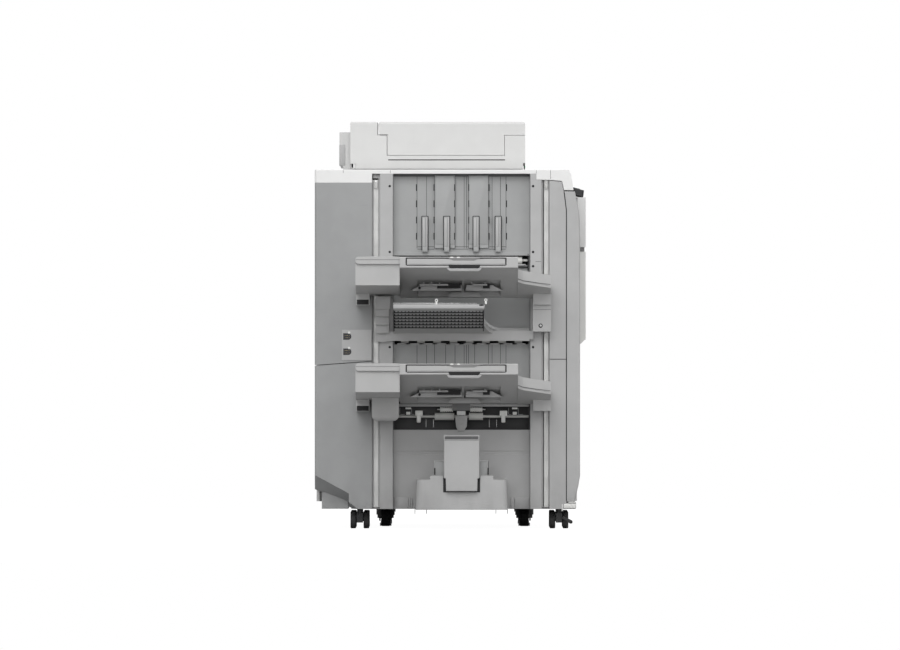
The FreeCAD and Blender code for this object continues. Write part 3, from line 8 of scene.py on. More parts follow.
import json
import logging
import math
from dataclasses import dataclass
from enum import Enum
from itertools import product
from typing import Iterable, Sequence

import bmesh
import bpy
from mathutils import Matrix, Vector


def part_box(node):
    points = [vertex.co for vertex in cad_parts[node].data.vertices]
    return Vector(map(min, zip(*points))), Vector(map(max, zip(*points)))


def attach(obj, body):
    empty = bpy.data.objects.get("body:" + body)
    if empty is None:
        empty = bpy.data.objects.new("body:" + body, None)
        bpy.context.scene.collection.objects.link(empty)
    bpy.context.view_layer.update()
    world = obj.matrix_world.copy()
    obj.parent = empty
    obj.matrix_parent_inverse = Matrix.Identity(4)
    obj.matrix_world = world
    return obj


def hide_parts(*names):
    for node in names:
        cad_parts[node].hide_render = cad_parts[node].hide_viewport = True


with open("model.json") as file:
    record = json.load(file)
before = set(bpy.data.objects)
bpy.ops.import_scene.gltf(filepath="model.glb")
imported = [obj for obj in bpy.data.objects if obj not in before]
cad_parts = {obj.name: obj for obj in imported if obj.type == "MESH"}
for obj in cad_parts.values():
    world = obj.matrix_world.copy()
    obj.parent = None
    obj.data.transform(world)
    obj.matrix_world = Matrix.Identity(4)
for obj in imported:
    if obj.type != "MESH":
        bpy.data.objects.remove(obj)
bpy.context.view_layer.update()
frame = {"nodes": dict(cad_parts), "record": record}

MM = 0.001
PROUD = 0.3  # how far a drawn line stands out of the face it lies on
FLUSH = 0.02  # keeps a line on an outer face just inside the frame's box
LOG = logging.getLogger("photocopier")

Span = tuple[float, float]
Point = tuple[float, float]
Colour = tuple[float, float, float]


class Axis(Enum):
    """The frame's axes."""

    X = 0
    Y = 1
    Z = 2

    @property
    def others(self) -> tuple[int, int]:
        """The two other axes' indices, in X, Y, Z order."""
        return tuple(i for i in range(3) if i != self.value)

    @property
    def vector(self) -> Vector:
        """This axis as a unit vector."""
        return Vector([1.0 if i == self.value else 0.0 for i in range(3)])


class Slot(Enum):
    """The record's material slots."""

    COVER = "finisher_grey"
    PALE = "pale_cover"
    BAY = "bay_grey"
    TRAY = "tray_grey"
    CHASSIS = "chassis"
    RAIL = "rail_steel"
    SCREW = "screw"
    ROLLER = "roller"
    BLACK = "black_plastic"
    WHEEL = "wheel"
    GLASS = "glass"
    KEY = "key"


# ------------------------------
# Shader node groups, each made once
# ------------------------------


class Graph:
    """A node tree with a short way to add nodes that are already joined."""

    def __init__(self, tree: bpy.types.NodeTree) -> None:
        """Keeps the tree."""
        self.tree = tree

    def add(self, kind: str, inputs: dict | None = None, **settings: object) -> bpy.types.Node:
        """Adds a node.

        Args:
            kind: The node's type without its ShaderNode prefix.
            inputs: Each input by name or number, with a socket to join or a plain value.
            settings: The node's own settings.

        Returns:
            The new node.
        """
        node = self.tree.nodes.new("ShaderNode" + kind)
        for key, value in settings.items():
            setattr(node, key, value)
        for key, value in (inputs or {}).items():
            if isinstance(value, bpy.types.NodeSocket):
                self.tree.links.new(value, node.inputs[key])
            else:
                node.inputs[key].default_value = value
        return node

    def maths(self, operation: str, *values: object, clamp: bool = False) -> bpy.types.NodeSocket:
        """Adds a Math node on up to three sockets or numbers and returns its result."""
        node = self.add("Math", dict(enumerate(values)), operation=operation, use_clamp=clamp)
        return node.outputs[0]

    def mix(self, factor: object, a: object, b: object) -> bpy.types.NodeSocket:
        """Mixes two colours by a factor and returns the result."""
        node = self.add("Mix", {0: factor, 6: a, 7: b}, data_type="RGBA")
        return node.outputs[2]

    def remap(
        self, value: bpy.types.NodeSocket, source: Span, target: Span = (0.0, 1.0)
    ) -> bpy.types.NodeSocket:
        """Maps a value smoothly from one range to another and returns it."""
        ends = {0: value, 1: source[0], 2: source[1], 3: target[0], 4: target[1]}
        return self.add("MapRange", ends, interpolation_type="SMOOTHSTEP").outputs[0]

    def noise(
        self, scale: object, detail: float = 3.0, stretch: Sequence[float] = (1, 1, 1)
    ) -> bpy.types.NodeSocket:
        """Noise over the object's own coordinates, stretched along its axes; returns its value."""
        place = self.add("TexCoord").outputs["Object"]
        mapped = self.add("Mapping", {"Vector": place, "Scale": stretch}).outputs[0]
        return self.add("TexNoise", {"Vector": mapped, "Scale": scale, "Detail": detail}).outputs["Fac"]


def node_group(name: str, inputs: dict[str, float], outputs: dict[str, str]) -> tuple[Graph, dict, object]:
    """Starts a shader node group.

    Args:
        name: The group's name.
        inputs: Each float input and its default.
        outputs: Each output and its socket kind.

    Returns:
        The group's graph, its input sockets by name and its output node.
    """
    tree = bpy.data.node_groups.new(name, "ShaderNodeTree")
    for key, value in inputs.items():
        tree.interface.new_socket(
            name=key, in_out="INPUT", socket_type="NodeSocketFloat"
        ).default_value = value
    for key, kind in outputs.items():
        tree.interface.new_socket(name=key, in_out="OUTPUT", socket_type="NodeSocket" + kind)
    graph = Graph(tree)
    entry = tree.nodes.new("NodeGroupInput")
    result = tree.nodes.new("NodeGroupOutput")
    return graph, {key: entry.outputs[key] for key in inputs}, result


def make_moulded_group() -> bpy.types.NodeTree:
    """Fine grain of a moulded or painted skin, with slow drifts of its tone."""
    graph, given, result = node_group(
        "moulded skin", {"Grain": 900.0}, {"Height": "Float", "Drift": "Float"}
    )
    fine = graph.noise(given["Grain"], 2.0)
    cells = graph.add(
        "TexVoronoi", {"Vector": graph.add("TexCoord").outputs["Object"], "Scale": given["Grain"]}
    )
    height = graph.maths("MULTIPLY_ADD", cells.outputs["Distance"], 0.6, fine)
    slow = graph.noise(2.6, 4.0, (1.0, 1.0, 0.6))
    patches = graph.noise(21.0, 3.0)
    drift = graph.maths("MULTIPLY_ADD", patches, 0.35, graph.maths("MULTIPLY", slow, 0.65))
    graph.tree.links.new(height, result.inputs["Height"])
    graph.tree.links.new(graph.remap(drift, (0.32, 0.68)), result.inputs["Drift"])
    return graph.tree


def make_edge_group() -> bpy.types.NodeTree:
    """Rounded corners and a mask along a piece's edges that lightens them: partly wear where hands and
    trolleys rub, partly painted edge highlight.
    """
    graph, given, result = node_group(
        "edge lightening", {"Radius": 0.0012}, {"Mask": "Float", "Normal": "Vector"}
    )
    rounded = graph.add("Bevel", {"Radius": given["Radius"]}, samples=4).outputs["Normal"]
    flat = graph.add("NewGeometry").outputs["Normal"]
    facing = graph.add("VectorMath", {0: rounded, 1: flat}, operation="DOT_PRODUCT").outputs["Value"]
    bent = graph.remap(facing, (0.995, 0.84))
    rubbed_and_lit = graph.remap(graph.noise(38.0, 5.0), (0.42, 0.66))
    graph.tree.links.new(graph.maths("MULTIPLY", bent, rubbed_and_lit), result.inputs["Mask"])
    graph.tree.links.new(rounded, result.inputs["Normal"])
    return graph.tree


def make_dust_group() -> bpy.types.NodeTree:
    """Dust that settles on what faces up, thicker in soft patches."""
    graph, given, result = node_group("dust", {"Amount": 0.3}, {"Mask": "Float"})
    normal = graph.add("NewGeometry").outputs["Normal"]
    up = graph.add("SeparateXYZ", {0: normal}).outputs["Z"]
    lying = graph.remap(up, (0.55, 0.98))
    patches = graph.remap(graph.noise(9.0, 6.0), (0.3, 0.75))
    specks = graph.remap(graph.noise(620.0, 1.0), (0.62, 0.74))
    amount = graph.maths("MULTIPLY_ADD", specks, 0.6, patches)
    mask = graph.maths("MULTIPLY", graph.maths("MULTIPLY", lying, amount), given["Amount"], clamp=True)
    graph.tree.links.new(mask, result.inputs["Mask"])
    return graph.tree


def make_scuff_group() -> bpy.types.NodeTree:
    """Thin level and upright rub marks, broken up into short stretches."""
    graph, given, result = node_group("scuffs", {"Amount": 0.3}, {"Mask": "Float"})
    level = graph.remap(graph.noise(1.0, 2.0, (14.0, 14.0, 640.0)), (0.66, 0.74))
    upright = graph.remap(graph.noise(1.0, 2.0, (520.0, 520.0, 11.0)), (0.68, 0.76))
    where = graph.remap(graph.noise(5.5, 3.0), (0.5, 0.68))
    lines = graph.maths("MAXIMUM", level, upright)
    mask = graph.maths("MULTIPLY", graph.maths("MULTIPLY", lines, where), given["Amount"], clamp=True)
    graph.tree.links.new(mask, result.inputs["Mask"])
    return graph.tree


def make_low_darkening_group() -> bpy.types.NodeTree:
    """Darkening over the lowest 0.2 m of the machine, in smeared patches and strongest at the floor."""
    graph, given, result = node_group("low darkening", {"Amount": 0.3}, {"Mask": "Float"})
    place = graph.add("TexCoord").outputs["Object"]
    height = graph.add("SeparateXYZ", {0: place}).outputs["Z"]
    low = graph.remap(height, (0.2, 0.02))
    smears = graph.remap(graph.noise(16.0, 5.0, (1.0, 1.0, 0.4)), (0.35, 0.7))
    mask = graph.maths("MULTIPLY", graph.maths("MULTIPLY", low, smears), given["Amount"], clamp=True)
    graph.tree.links.new(mask, result.inputs["Mask"])
    return graph.tree


def make_brushed_group() -> bpy.types.NodeTree:
    """Upright brush lines of drawn and ground metal."""
    graph, given, result = node_group("brushed lines", {"Fineness": 900.0}, {"Height": "Float"})
    place = graph.add("TexCoord").outputs["Object"]
    mapped = graph.add("Mapping", {"Vector": place, "Scale": (1.0, 1.0, 0.02)}).outputs[0]
    lines = graph.add(
        "TexNoise", {"Vector": mapped, "Scale": given["Fineness"], "Detail": 4.0}
    ).outputs["Fac"]
    graph.tree.links.new(lines, result.inputs["Height"])
    return graph.tree


GROUPS = {
    "moulded": make_moulded_group(),
    "edges": make_edge_group(),
    "dust": make_dust_group(),
    "scuffs": make_scuff_group(),
    "low_darkening": make_low_darkening_group(),
    "brushed": make_brushed_group(),
}


# ------------------------------
# Finishes
# ------------------------------


@dataclass(frozen=True)
class Finish:
    """A moulded or painted skin with grain, drift, edges lightened by wear and painted highlight, dust,
    scuffs and darkening near the floor.
    """

    name: str
    colour: Colour
    rough: float = 0.5
    metal: float = 0.0
    grain: float = 900.0
    depth: float = 0.25
    drift: float = 0.06
    # How far edges lighten towards the worn colour: partly wear, partly painted highlight.
    wear_and_highlight: float = 0.3
    worn_and_lit: Colour = (0.8, 0.8, 0.79)
    dust: float = 0.1
    scuff: float = 0.18
    low_darkening: float = 0.3
    edge: float = 0.0012
    coat: float = 0.0

    def material(self) -> bpy.types.Material:
        """The finish's material, made the first time it is asked for."""
        found = bpy.data.materials.get(self.name)
        return found or self.build()

    def group(self, graph: Graph, key: str, **inputs: float) -> bpy.types.Node:
        """Places one of the shared groups with this finish's values."""
        node = graph.add("Group", node_tree=GROUPS[key])
        for name, value in inputs.items():
            node.inputs[name].default_value = value
        return node

    def build(self) -> bpy.types.Material:
        """Makes the material and its nodes."""
        material = bpy.data.materials.new(self.name)
        material.use_nodes = True
        graph = Graph(material.node_tree)
        shader = material.node_tree.nodes["Principled BSDF"]
        shader.inputs["Metallic"].default_value = self.metal
        shader.inputs["Coat Weight"].default_value = self.coat
        self.dress(graph, shader)
        return material

    def dress(self, graph: Graph, shader: bpy.types.Node) -> None:
        """Joins colour, roughness and bump to the shader."""
        skin = self.group(graph, "moulded", Grain=self.grain)
        edges = self.group(graph, "edges", Radius=self.edge)
        dust = self.group(graph, "dust", Amount=self.dust)
        scuffs = self.group(graph, "scuffs", Amount=self.scuff)
        low_darkening = self.group(graph, "low_darkening", Amount=self.low_darkening)
        darker = [c * (1 - self.drift) for c in self.colour] + [1]
        lighter = [min(1.0, c * (1 + self.drift)) for c in self.colour] + [1]
        tone = graph.mix(skin.outputs["Drift"], darker, lighter)
        # Edges go towards the worn colour: partly wear, partly painted edge highlight.
        rubbed_and_lit = graph.maths("MULTIPLY", edges.outputs["Mask"], self.wear_and_highlight)
        tone = graph.mix(rubbed_and_lit, tone, [*self.worn_and_lit, 1])
        tone = graph.mix(scuffs.outputs["Mask"], tone, [c * 0.55 for c in self.colour] + [1])
        # Darker towards the floor, in smeared patches.
        tone = graph.mix(low_darkening.outputs["Mask"], tone, (0.09, 0.085, 0.08, 1))
        tone = graph.mix(dust.outputs["Mask"], tone, (0.62, 0.61, 0.59, 1))
        spread = graph.remap(skin.outputs["Drift"], (0, 1), (self.rough - 0.05, self.rough + 0.07))
        shine = graph.maths("MULTIPLY_ADD", rubbed_and_lit, -0.12, spread)
        duller = graph.maths("MULTIPLY_ADD", dust.outputs["Mask"], 0.3, shine, clamp=True)
        inputs = {
            "Height": skin.outputs["Height"],
            "Normal": edges.outputs["Normal"],
            "Strength": self.depth,
            "Distance": 0.0002,
        }
        bump = graph.add("Bump", inputs)
        links = graph.tree.links
        links.new(tone, shader.inputs["Base Color"])
        links.new(duller, shader.inputs["Roughness"])
        links.new(bump.outputs[0], shader.inputs["Normal"])


@dataclass(frozen=True)
class Brushed(Finish):
    """Drawn or ground metal with brush lines and smudges."""

    metal: float = 1.0
    rough: float = 0.3
    fineness: float = 900.0

    def dress(self, graph: Graph, shader: bpy.types.Node) -> None:
        """Joins brush lines, smudges and rounded edges to the shader."""
        lines = self.group(graph, "brushed", Fineness=self.fineness).outputs["Height"]
        edges = self.group(graph, "edges", Radius=self.edge)
        dust = self.group(graph, "dust", Amount=self.dust)
        smudge = graph.remap(graph.noise(24.0, 5.0), (0.35, 0.7))
        dark = [c * (1 - 3 * self.drift) for c in self.colour] + [1]
        tone = graph.mix(graph.remap(lines, (0.35, 0.65)), dark, [*self.colour, 1])
        tone = graph.mix(graph.maths("MULTIPLY", smudge, 0.25), tone, [c * 0.7 for c in self.colour] + [1])
        tone = graph.mix(dust.outputs["Mask"], tone, (0.55, 0.54, 0.52, 1))
        rough = graph.remap(
            graph.maths("MULTIPLY_ADD", smudge, 0.4, lines), (0.3, 1.0),
            (self.rough - 0.06, self.rough + 0.2),
        )
        bump = graph.add(
            "Bump",
            {"Height": lines, "Normal": edges.outputs["Normal"], "Strength": 0.2, "Distance": 0.0001},
        )
        graph.tree.links.new(tone, shader.inputs["Base Color"])
        graph.tree.links.new(rough, shader.inputs["Roughness"])
        graph.tree.links.new(bump.outputs[0], shader.inputs["Normal"])


@dataclass(frozen=True)
class Glass(Finish):
    """Clear float glass with faint wipe marks."""

    def dress(self, graph: Graph, shader: bpy.types.Node) -> None:
        """Joins wipe marks to the shader's roughness and tint."""
        shader.inputs["Transmission Weight"].default_value = 0.85
        shader.inputs["IOR"].default_value = 1.5
        wipes = graph.remap(graph.noise(7.0, 5.0, (1.0, 6.0, 1.0)), (0.4, 0.75))
        tone = graph.mix(wipes, [*self.colour, 1], [c * 0.9 for c in self.colour] + [1])
        rough = graph.remap(wipes, (0, 1), (0.02, 0.16))
        bump = graph.add("Bump", {"Height": graph.noise(60.0, 2.0), "Strength": 0.02, "Distance": 0.0001})
        graph.tree.links.new(tone, shader.inputs["Base Color"])
        graph.tree.links.new(rough, shader.inputs["Roughness"])
        graph.tree.links.new(bump.outputs[0], shader.inputs["Normal"])


@dataclass(frozen=True)
class Lit(Finish):
    """A lamp, a sensor window or a lit screen under a clear face."""

    glow: float = 1.0
    coat: float = 0.6

    def dress(self, graph: Graph, shader: bpy.types.Node) -> None:
        """Joins the plain skin, then a glow that varies softly over the face."""
        super().dress(graph, shader)
        shader.inputs["Emission Strength"].default_value = self.glow
        fade = graph.remap(graph.noise(9.0, 2.0), (0.2, 0.8))
        lit = graph.mix(fade, [c * 0.8 for c in self.colour] + [1], [*self.colour, 1])
        graph.tree.links.new(lit, shader.inputs["Emission Color"])


COVER_GREY = Finish("cover grey", (0.298, 0.302, 0.304), rough=0.52)
# A lighter copy of cover grey, which paints in the stronger light on the front covers, the door and the
# booklet parts.
COVER_GREY_LIT = Finish("cover grey lit", (0.40, 0.40, 0.40), rough=0.5)
WHITE_SKIN = Finish(
    "white skin", (0.72, 0.72, 0.715), rough=0.46, drift=0.03, dust=0.05, worn_and_lit=(0.9, 0.9, 0.9)
)
WALL_GREY = Finish("wall grey", (0.33, 0.335, 0.335), rough=0.6, dust=0.06, scuff=0.3)
TRAY_SKIN = Finish("tray grey", (0.42, 0.42, 0.418), rough=0.55, grain=650.0, depth=0.35, scuff=0.35)
# A darker copy of tray grey: painted shade for undersides and dips.
TRAY_SHADED = Finish("tray grey shaded", (0.2, 0.2, 0.2), rough=0.62, grain=650.0, depth=0.35)
FEEDER_GREY = Finish("feeder grey", (0.56, 0.56, 0.555), rough=0.48, drift=0.03)
CLIP_WHITE = Finish("clip white", (0.78, 0.78, 0.76), rough=0.42, drift=0.03, edge=0.0004)
SEAM_DARK = Finish("seam shadow", (0.016, 0.016, 0.017), rough=0.8, wear_and_highlight=0.05, scuff=0.0, edge=0.0003)
SOFT_LINE = Finish("soft line", (0.1, 0.1, 0.102), rough=0.75, wear_and_highlight=0.05, scuff=0.0, edge=0.0003)
BLACK_SKIN = Finish("black plastic", (0.022, 0.022, 0.024), rough=0.45, wear_and_highlight=0.35, worn_and_lit=(0.16, 0.16, 0.16))
CHASSIS_PAINT = Finish("chassis paint", (0.2, 0.2, 0.2), rough=0.5, metal=0.25, grain=1500.0, depth=0.15)
DARK_STEEL = Finish("dark zinc", (0.3, 0.3, 0.31), rough=0.4, metal=0.8, grain=260.0, depth=0.1, drift=0.2)
RAIL_STEEL = Brushed("rail steel", (0.62, 0.62, 0.61), rough=0.38, metal=0.55)
SHAFT_STEEL = Brushed("shaft steel", (0.7, 0.7, 0.7), rough=0.25, fineness=1400.0)
SCREW_BLACK = Finish("black screw", (0.03, 0.03, 0.032), rough=0.35, metal=0.6, grain=2000.0, edge=0.0003)
ROLLER_RUBBER = Finish("roller rubber", (0.6, 0.6, 0.58), rough=0.75, grain=1800.0, depth=0.6, edge=0.0005)
TYRE_RUBBER = Finish(
    "tyre rubber", (0.03, 0.03, 0.031), rough=0.7, grain=1200.0, depth=0.6, low_darkening=0.3, dust=0.1
)
SCREEN_BLACK = Finish(
    "screen bezel", (0.012, 0.012, 0.014), rough=0.12, depth=0.02, coat=1.0, scuff=0.05, dust=0.06
)
SCREEN_LIT = Lit("lit screen", (0.1, 0.28, 0.42), rough=0.15, depth=0.02, glow=0.5, dust=0.03)
TILE_LIT = Lit("lit tile", (0.75, 0.8, 0.84), rough=0.2, depth=0.02, glow=0.5, dust=0.03)
LAMP_GREEN = Lit("green lamp", (0.08, 0.7, 0.25), rough=0.2, glow=0.9, edge=0.0003)
KEY_GREEN = Finish("start key", (0.05, 0.36, 0.16), rough=0.28, coat=0.4, edge=0.0004)
GLASS_CLEAR = Glass("platen glass", (0.86, 0.95, 0.93))
PAPER_WHITE = Finish("label paper", (0.78, 0.78, 0.75), rough=0.7, grain=1600.0, scuff=0.05, edge=0.0003)
FOAM_WHITE = Finish("white pad", (0.8, 0.8, 0.78), rough=0.85, grain=420.0, depth=0.8, dust=0.0)
COPPER_PIN = Brushed("contact metal", (0.75, 0.62, 0.4), rough=0.3)

SLOT_FINISH = {
    Slot.COVER: COVER_GREY,
    Slot.PALE: WHITE_SKIN,
    Slot.BAY: WALL_GREY,
    Slot.TRAY: TRAY_SKIN,
    Slot.CHASSIS: CHASSIS_PAINT,
    Slot.RAIL: RAIL_STEEL,
    Slot.SCREW: SCREW_BLACK,
    Slot.ROLLER: ROLLER_RUBBER,
    Slot.BLACK: BLACK_SKIN,
    Slot.WHEEL: TYRE_RUBBER,
    Slot.GLASS: GLASS_CLEAR,
    Slot.KEY: KEY_GREEN,
}

NODE_FINISH = {
    # Covers, door, columns and booklet parts take the lighter copy of cover grey: painted light.
    "finisher_door": COVER_GREY_LIT,
    "finisher_front_upper_cover": COVER_GREY_LIT,
    "finisher_front_lower_cover": COVER_GREY_LIT,
    "rail_columns": COVER_GREY_LIT,
    "adf_body": FEEDER_GREY,
    "adf_feeder_cover": FEEDER_GREY,
    "booklet_wall": COVER_GREY_LIT,
    "booklet_tray": COVER_GREY_LIT,
    "booklet_stop": COVER_GREY_LIT,
    "connector_plate": COVER_GREY_LIT,
    "leveling_feet": DARK_STEEL,
    "fixed_caster_yokes": DARK_STEEL,
    # The brighter white on the front door is painted light: its side lies in the finisher's shade.
    "front_door": CLIP_WHITE,
    "rear_swivel_yoke": BLACK_SKIN,
    "front_swivel_yoke": BLACK_SKIN,
}


# ------------------------------
# Shaping pieces
# ------------------------------


@dataclass(frozen=True)
class Box:
    """A CAD node's extent at rest, in millimetres."""

    low: Vector
    high: Vector

    @classmethod
    def of(cls, node: str) -> "Box":
        """The extent of that CAD node."""
        low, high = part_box(node)
        return cls(low / MM, high / MM)

    @property
    def middle(self) -> Vector:
        """Its middle point."""
        return (self.low + self.high) / 2


class Shaper:
    """One piece's mesh, shaped in millimetres with bmesh operators."""

    def __init__(self) -> None:
        """Starts an empty mesh."""
        self.bm = bmesh.new()

    def soften(self, edges: Iterable[bmesh.types.BMEdge], width: float, segments: int = 2) -> None:
        """Rounds edges by a width."""
        chosen = list(set(edges))
        geom = chosen + list({v for e in chosen for v in e.verts})
        bmesh.ops.bevel(
            self.bm, geom=geom, offset=width, offset_type="OFFSET", segments=segments, profile=0.5,
            affect="EDGES", clamp_overlap=True, material=-1,
        )

    def block(self, x: Span, y: Span, z: Span, rounded: float = 0.0, segments: int = 2) -> "Shaper":
        """Adds a box between two places on each axis, with rounded edges where asked."""
        made = bmesh.ops.create_cube(self.bm, size=1.0)["verts"]
        size = [b - a for a, b in (x, y, z)]
        middle = [(a + b) / 2 for a, b in (x, y, z)]
        bmesh.ops.scale(self.bm, vec=size, verts=made)
        bmesh.ops.translate(self.bm, vec=middle, verts=made)
        if rounded:
            self.soften({e for v in made for e in v.link_edges}, rounded, segments)
        return self

    def rod(self, axis: Axis, centre: Point, radius: float, span: Span, sides: int = 24,
            end_radius: float | None = None, rounded: float = 0.0) -> "Shaper":
        """Adds a cylinder or a cone along an axis.

        Args:
            axis: The axis it lies along.
            centre: Its place on the two other axes.
            radius: Its radius at the low end.
            span: Where it starts and ends along the axis.
            sides: How many sides it has.
            end_radius: Its radius at the high end, if that differs.
            rounded: How far its rims are rounded.

        Returns:
            This shaper.
        """
        last = radius if end_radius is None else end_radius
        depth = span[1] - span[0]
        made = bmesh.ops.create_cone(
            self.bm, cap_ends=True, segments=sides, radius1=radius, radius2=last, depth=depth
        )["verts"]
        turn = Vector((0, 0, 1)).rotation_difference(axis.vector).to_matrix()
        bmesh.ops.rotate(self.bm, cent=(0, 0, 0), matrix=turn, verts=made)
        bmesh.ops.translate(self.bm, vec=self.place(axis, (span[0] + span[1]) / 2, centre), verts=made)
        if rounded:
            rims = {e for v in made for e in v.link_edges if any(len(f.verts) > 4 for f in e.link_faces)}
            self.soften(rims, rounded)
        return self

    @staticmethod
    def place(axis: Axis, along: float, other: Point) -> Vector:
        """A point from its place along an axis and on the two others."""
        point = Vector((0.0, 0.0, 0.0))
        point[axis.value] = along
        for index, value in zip(axis.others, other):
            point[index] = value
        return point

    def prism(self, axis: Axis, outline: Sequence[Point], span: Span, rounded: float = 0.0,
              far_outline: Sequence[Point] | None = None) -> "Shaper":
        """Adds an outline carried along an axis.

        Args:
            axis: The axis it is carried along.
            outline: Its corners on the two other axes.
            span: Where it starts and ends.
            rounded: How far its edges are rounded.
            far_outline: The corners at the far end, where the shape changes on the way.

        Returns:
            This shaper.
        """
        corners = [self.bm.verts.new(self.place(axis, span[0], corner)) for corner in outline]
        face = self.bm.faces.new(corners)
        grown = bmesh.ops.extrude_face_region(self.bm, geom=[face])["geom"]
        moved = [v for v in grown if isinstance(v, bmesh.types.BMVert)]
        starts = {tuple(round(c, 4) for c in corner.co): i for i, corner in enumerate(corners)}
        ends = far_outline or outline
        for vert in moved:
            index = starts[tuple(round(c, 4) for c in vert.co)]
            vert.co = self.place(axis, span[1], ends[index])
        if rounded:
            self.soften({e for v in corners + moved for e in v.link_edges}, rounded)
        return self

    def louvres(self, axis: Axis, along: Span, foots: Iterable[float], height: float, radius: float,
                span: Span) -> "Shaper":
        """Adds level slots with rounded ends, one above each foot."""
        for foot in foots:
            self.prism(axis, rounded_panel(along, (foot, foot + height), radius), span)
        return self

    def studs(self, axis: Axis, places: Iterable[Point], radius: float, span: Span) -> "Shaper":
        """Adds a plain round head at each place."""
        for place in places:
            self.rod(axis, place, radius, span, 16)
        return self

    def turned(self, axis: Axis, centre: Point, profile: Sequence[Point], steps: int = 32) -> "Shaper":
        """Adds a closed outline of (place along the axis, radius) corners, spun a full turn."""
        radial = axis.others[1]
        ring = []
        for along, radius in profile:
            point = self.place(axis, along, centre)
            point[radial] += radius
            ring.append(self.bm.verts.new(point))
        edges = [self.bm.edges.new((a, b)) for a, b in zip(ring, ring[1:] + ring[:1])]
        bmesh.ops.spin(
            self.bm, geom=ring + edges, cent=self.place(axis, 0, centre), axis=axis.vector,
            angle=2 * math.pi, steps=steps, use_merge=True,
        )
        return self

    def wire(self, points: Sequence[Sequence[float]], radius: float, sides: int = 8) -> "Shaper":
        """Adds a bent wire through points, with a ball at each bend."""
        for a, b in zip(points, points[1:]):
            start, end = Vector(a), Vector(b)
            along = end - start
            made = bmesh.ops.create_cone(
                self.bm, cap_ends=True, segments=sides, radius1=radius, radius2=radius, depth=along.length
            )["verts"]
            turn = Vector((0, 0, 1)).rotation_difference(along.normalized()).to_matrix()
            bmesh.ops.rotate(self.bm, cent=(0, 0, 0), matrix=turn, verts=made)
            bmesh.ops.translate(self.bm, vec=(start + end) / 2, verts=made)
        for bend in points[1:-1]:
            ball = Matrix.Translation(Vector(bend))
            bmesh.ops.create_icosphere(self.bm, subdivisions=1, radius=radius * 1.02, matrix=ball)
        return self

    def dome(self, centre: Sequence[float], radius: float, flat: Sequence[float] = (1, 1, 1)) -> "Shaper":
        """Adds a ball, flattened along the axes where asked."""
        shape = Matrix.Translation(Vector(centre)) @ Matrix.Diagonal((*flat, 1.0))
        bmesh.ops.create_uvsphere(self.bm, u_segments=16, v_segments=10, radius=radius, matrix=shape)
        return self

    def piece(self, name: str, body: str, slot: Slot, finish: Finish,
              stands_for: Sequence[str] = (), sharp: float = 40.0) -> bpy.types.Object:
        """Finishes the piece.

        Args:
            name: The piece's name.
            body: The CAD body it rides on.
            slot: The record's slot named for the piece; not used.
            finish: Its own finish.
            stands_for: The CAD nodes it stands for.
            sharp: Edges that turn by more degrees than this stay sharp.

        Returns:
            The finished object, at the origin.
        """
        bmesh.ops.remove_doubles(self.bm, verts=self.bm.verts, dist=1e-4)
        bmesh.ops.recalc_face_normals(self.bm, faces=self.bm.faces)
        bmesh.ops.scale(self.bm, vec=(MM, MM, MM), verts=self.bm.verts)
        mesh = bpy.data.meshes.new(name)
        self.bm.to_mesh(mesh)
        self.bm.free()
        mesh.shade_smooth()
        mesh.set_sharp_from_angle(angle=math.radians(sharp))
        mesh.materials.append(finish.material())
        piece = bpy.data.objects.new(name, mesh)
        bpy.context.scene.collection.objects.link(piece)
        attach(piece, body)
        if stands_for:
            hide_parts(*stands_for)
        LOG.info("%s rides on %s, %d faces", name, body, len(mesh.polygons))
        return piece


def arc(centre: Point, radius: float, start: float, end: float, steps: int = 6) -> list[Point]:
    """Points round an arc, with its ends in degrees."""
    turns = [math.radians(start + (end - start) * i / steps) for i in range(steps + 1)]
    return [(centre[0] + radius * math.cos(t), centre[1] + radius * math.sin(t)) for t in turns]


def rounded_panel(x: Span, z: Span, radius: float, top_only: bool = False) -> list[Point]:
    """The outline of a panel with rounded corners."""
    (x0, x1), (z0, z1) = x, z
    upper = arc((x1 - radius, z1 - radius), radius, 0, 90) + arc(
        (x0 + radius, z1 - radius), radius, 90, 180
    )
    if top_only:
        return [(x1, z0)] + upper + [(x0, z0)]
    lower = arc((x0 + radius, z0 + radius), radius, 180, 270) + arc(
        (x1 - radius, z0 + radius), radius, 270, 360
    )
    return upper + lower


# ------------------------------
# Studio
# ------------------------------


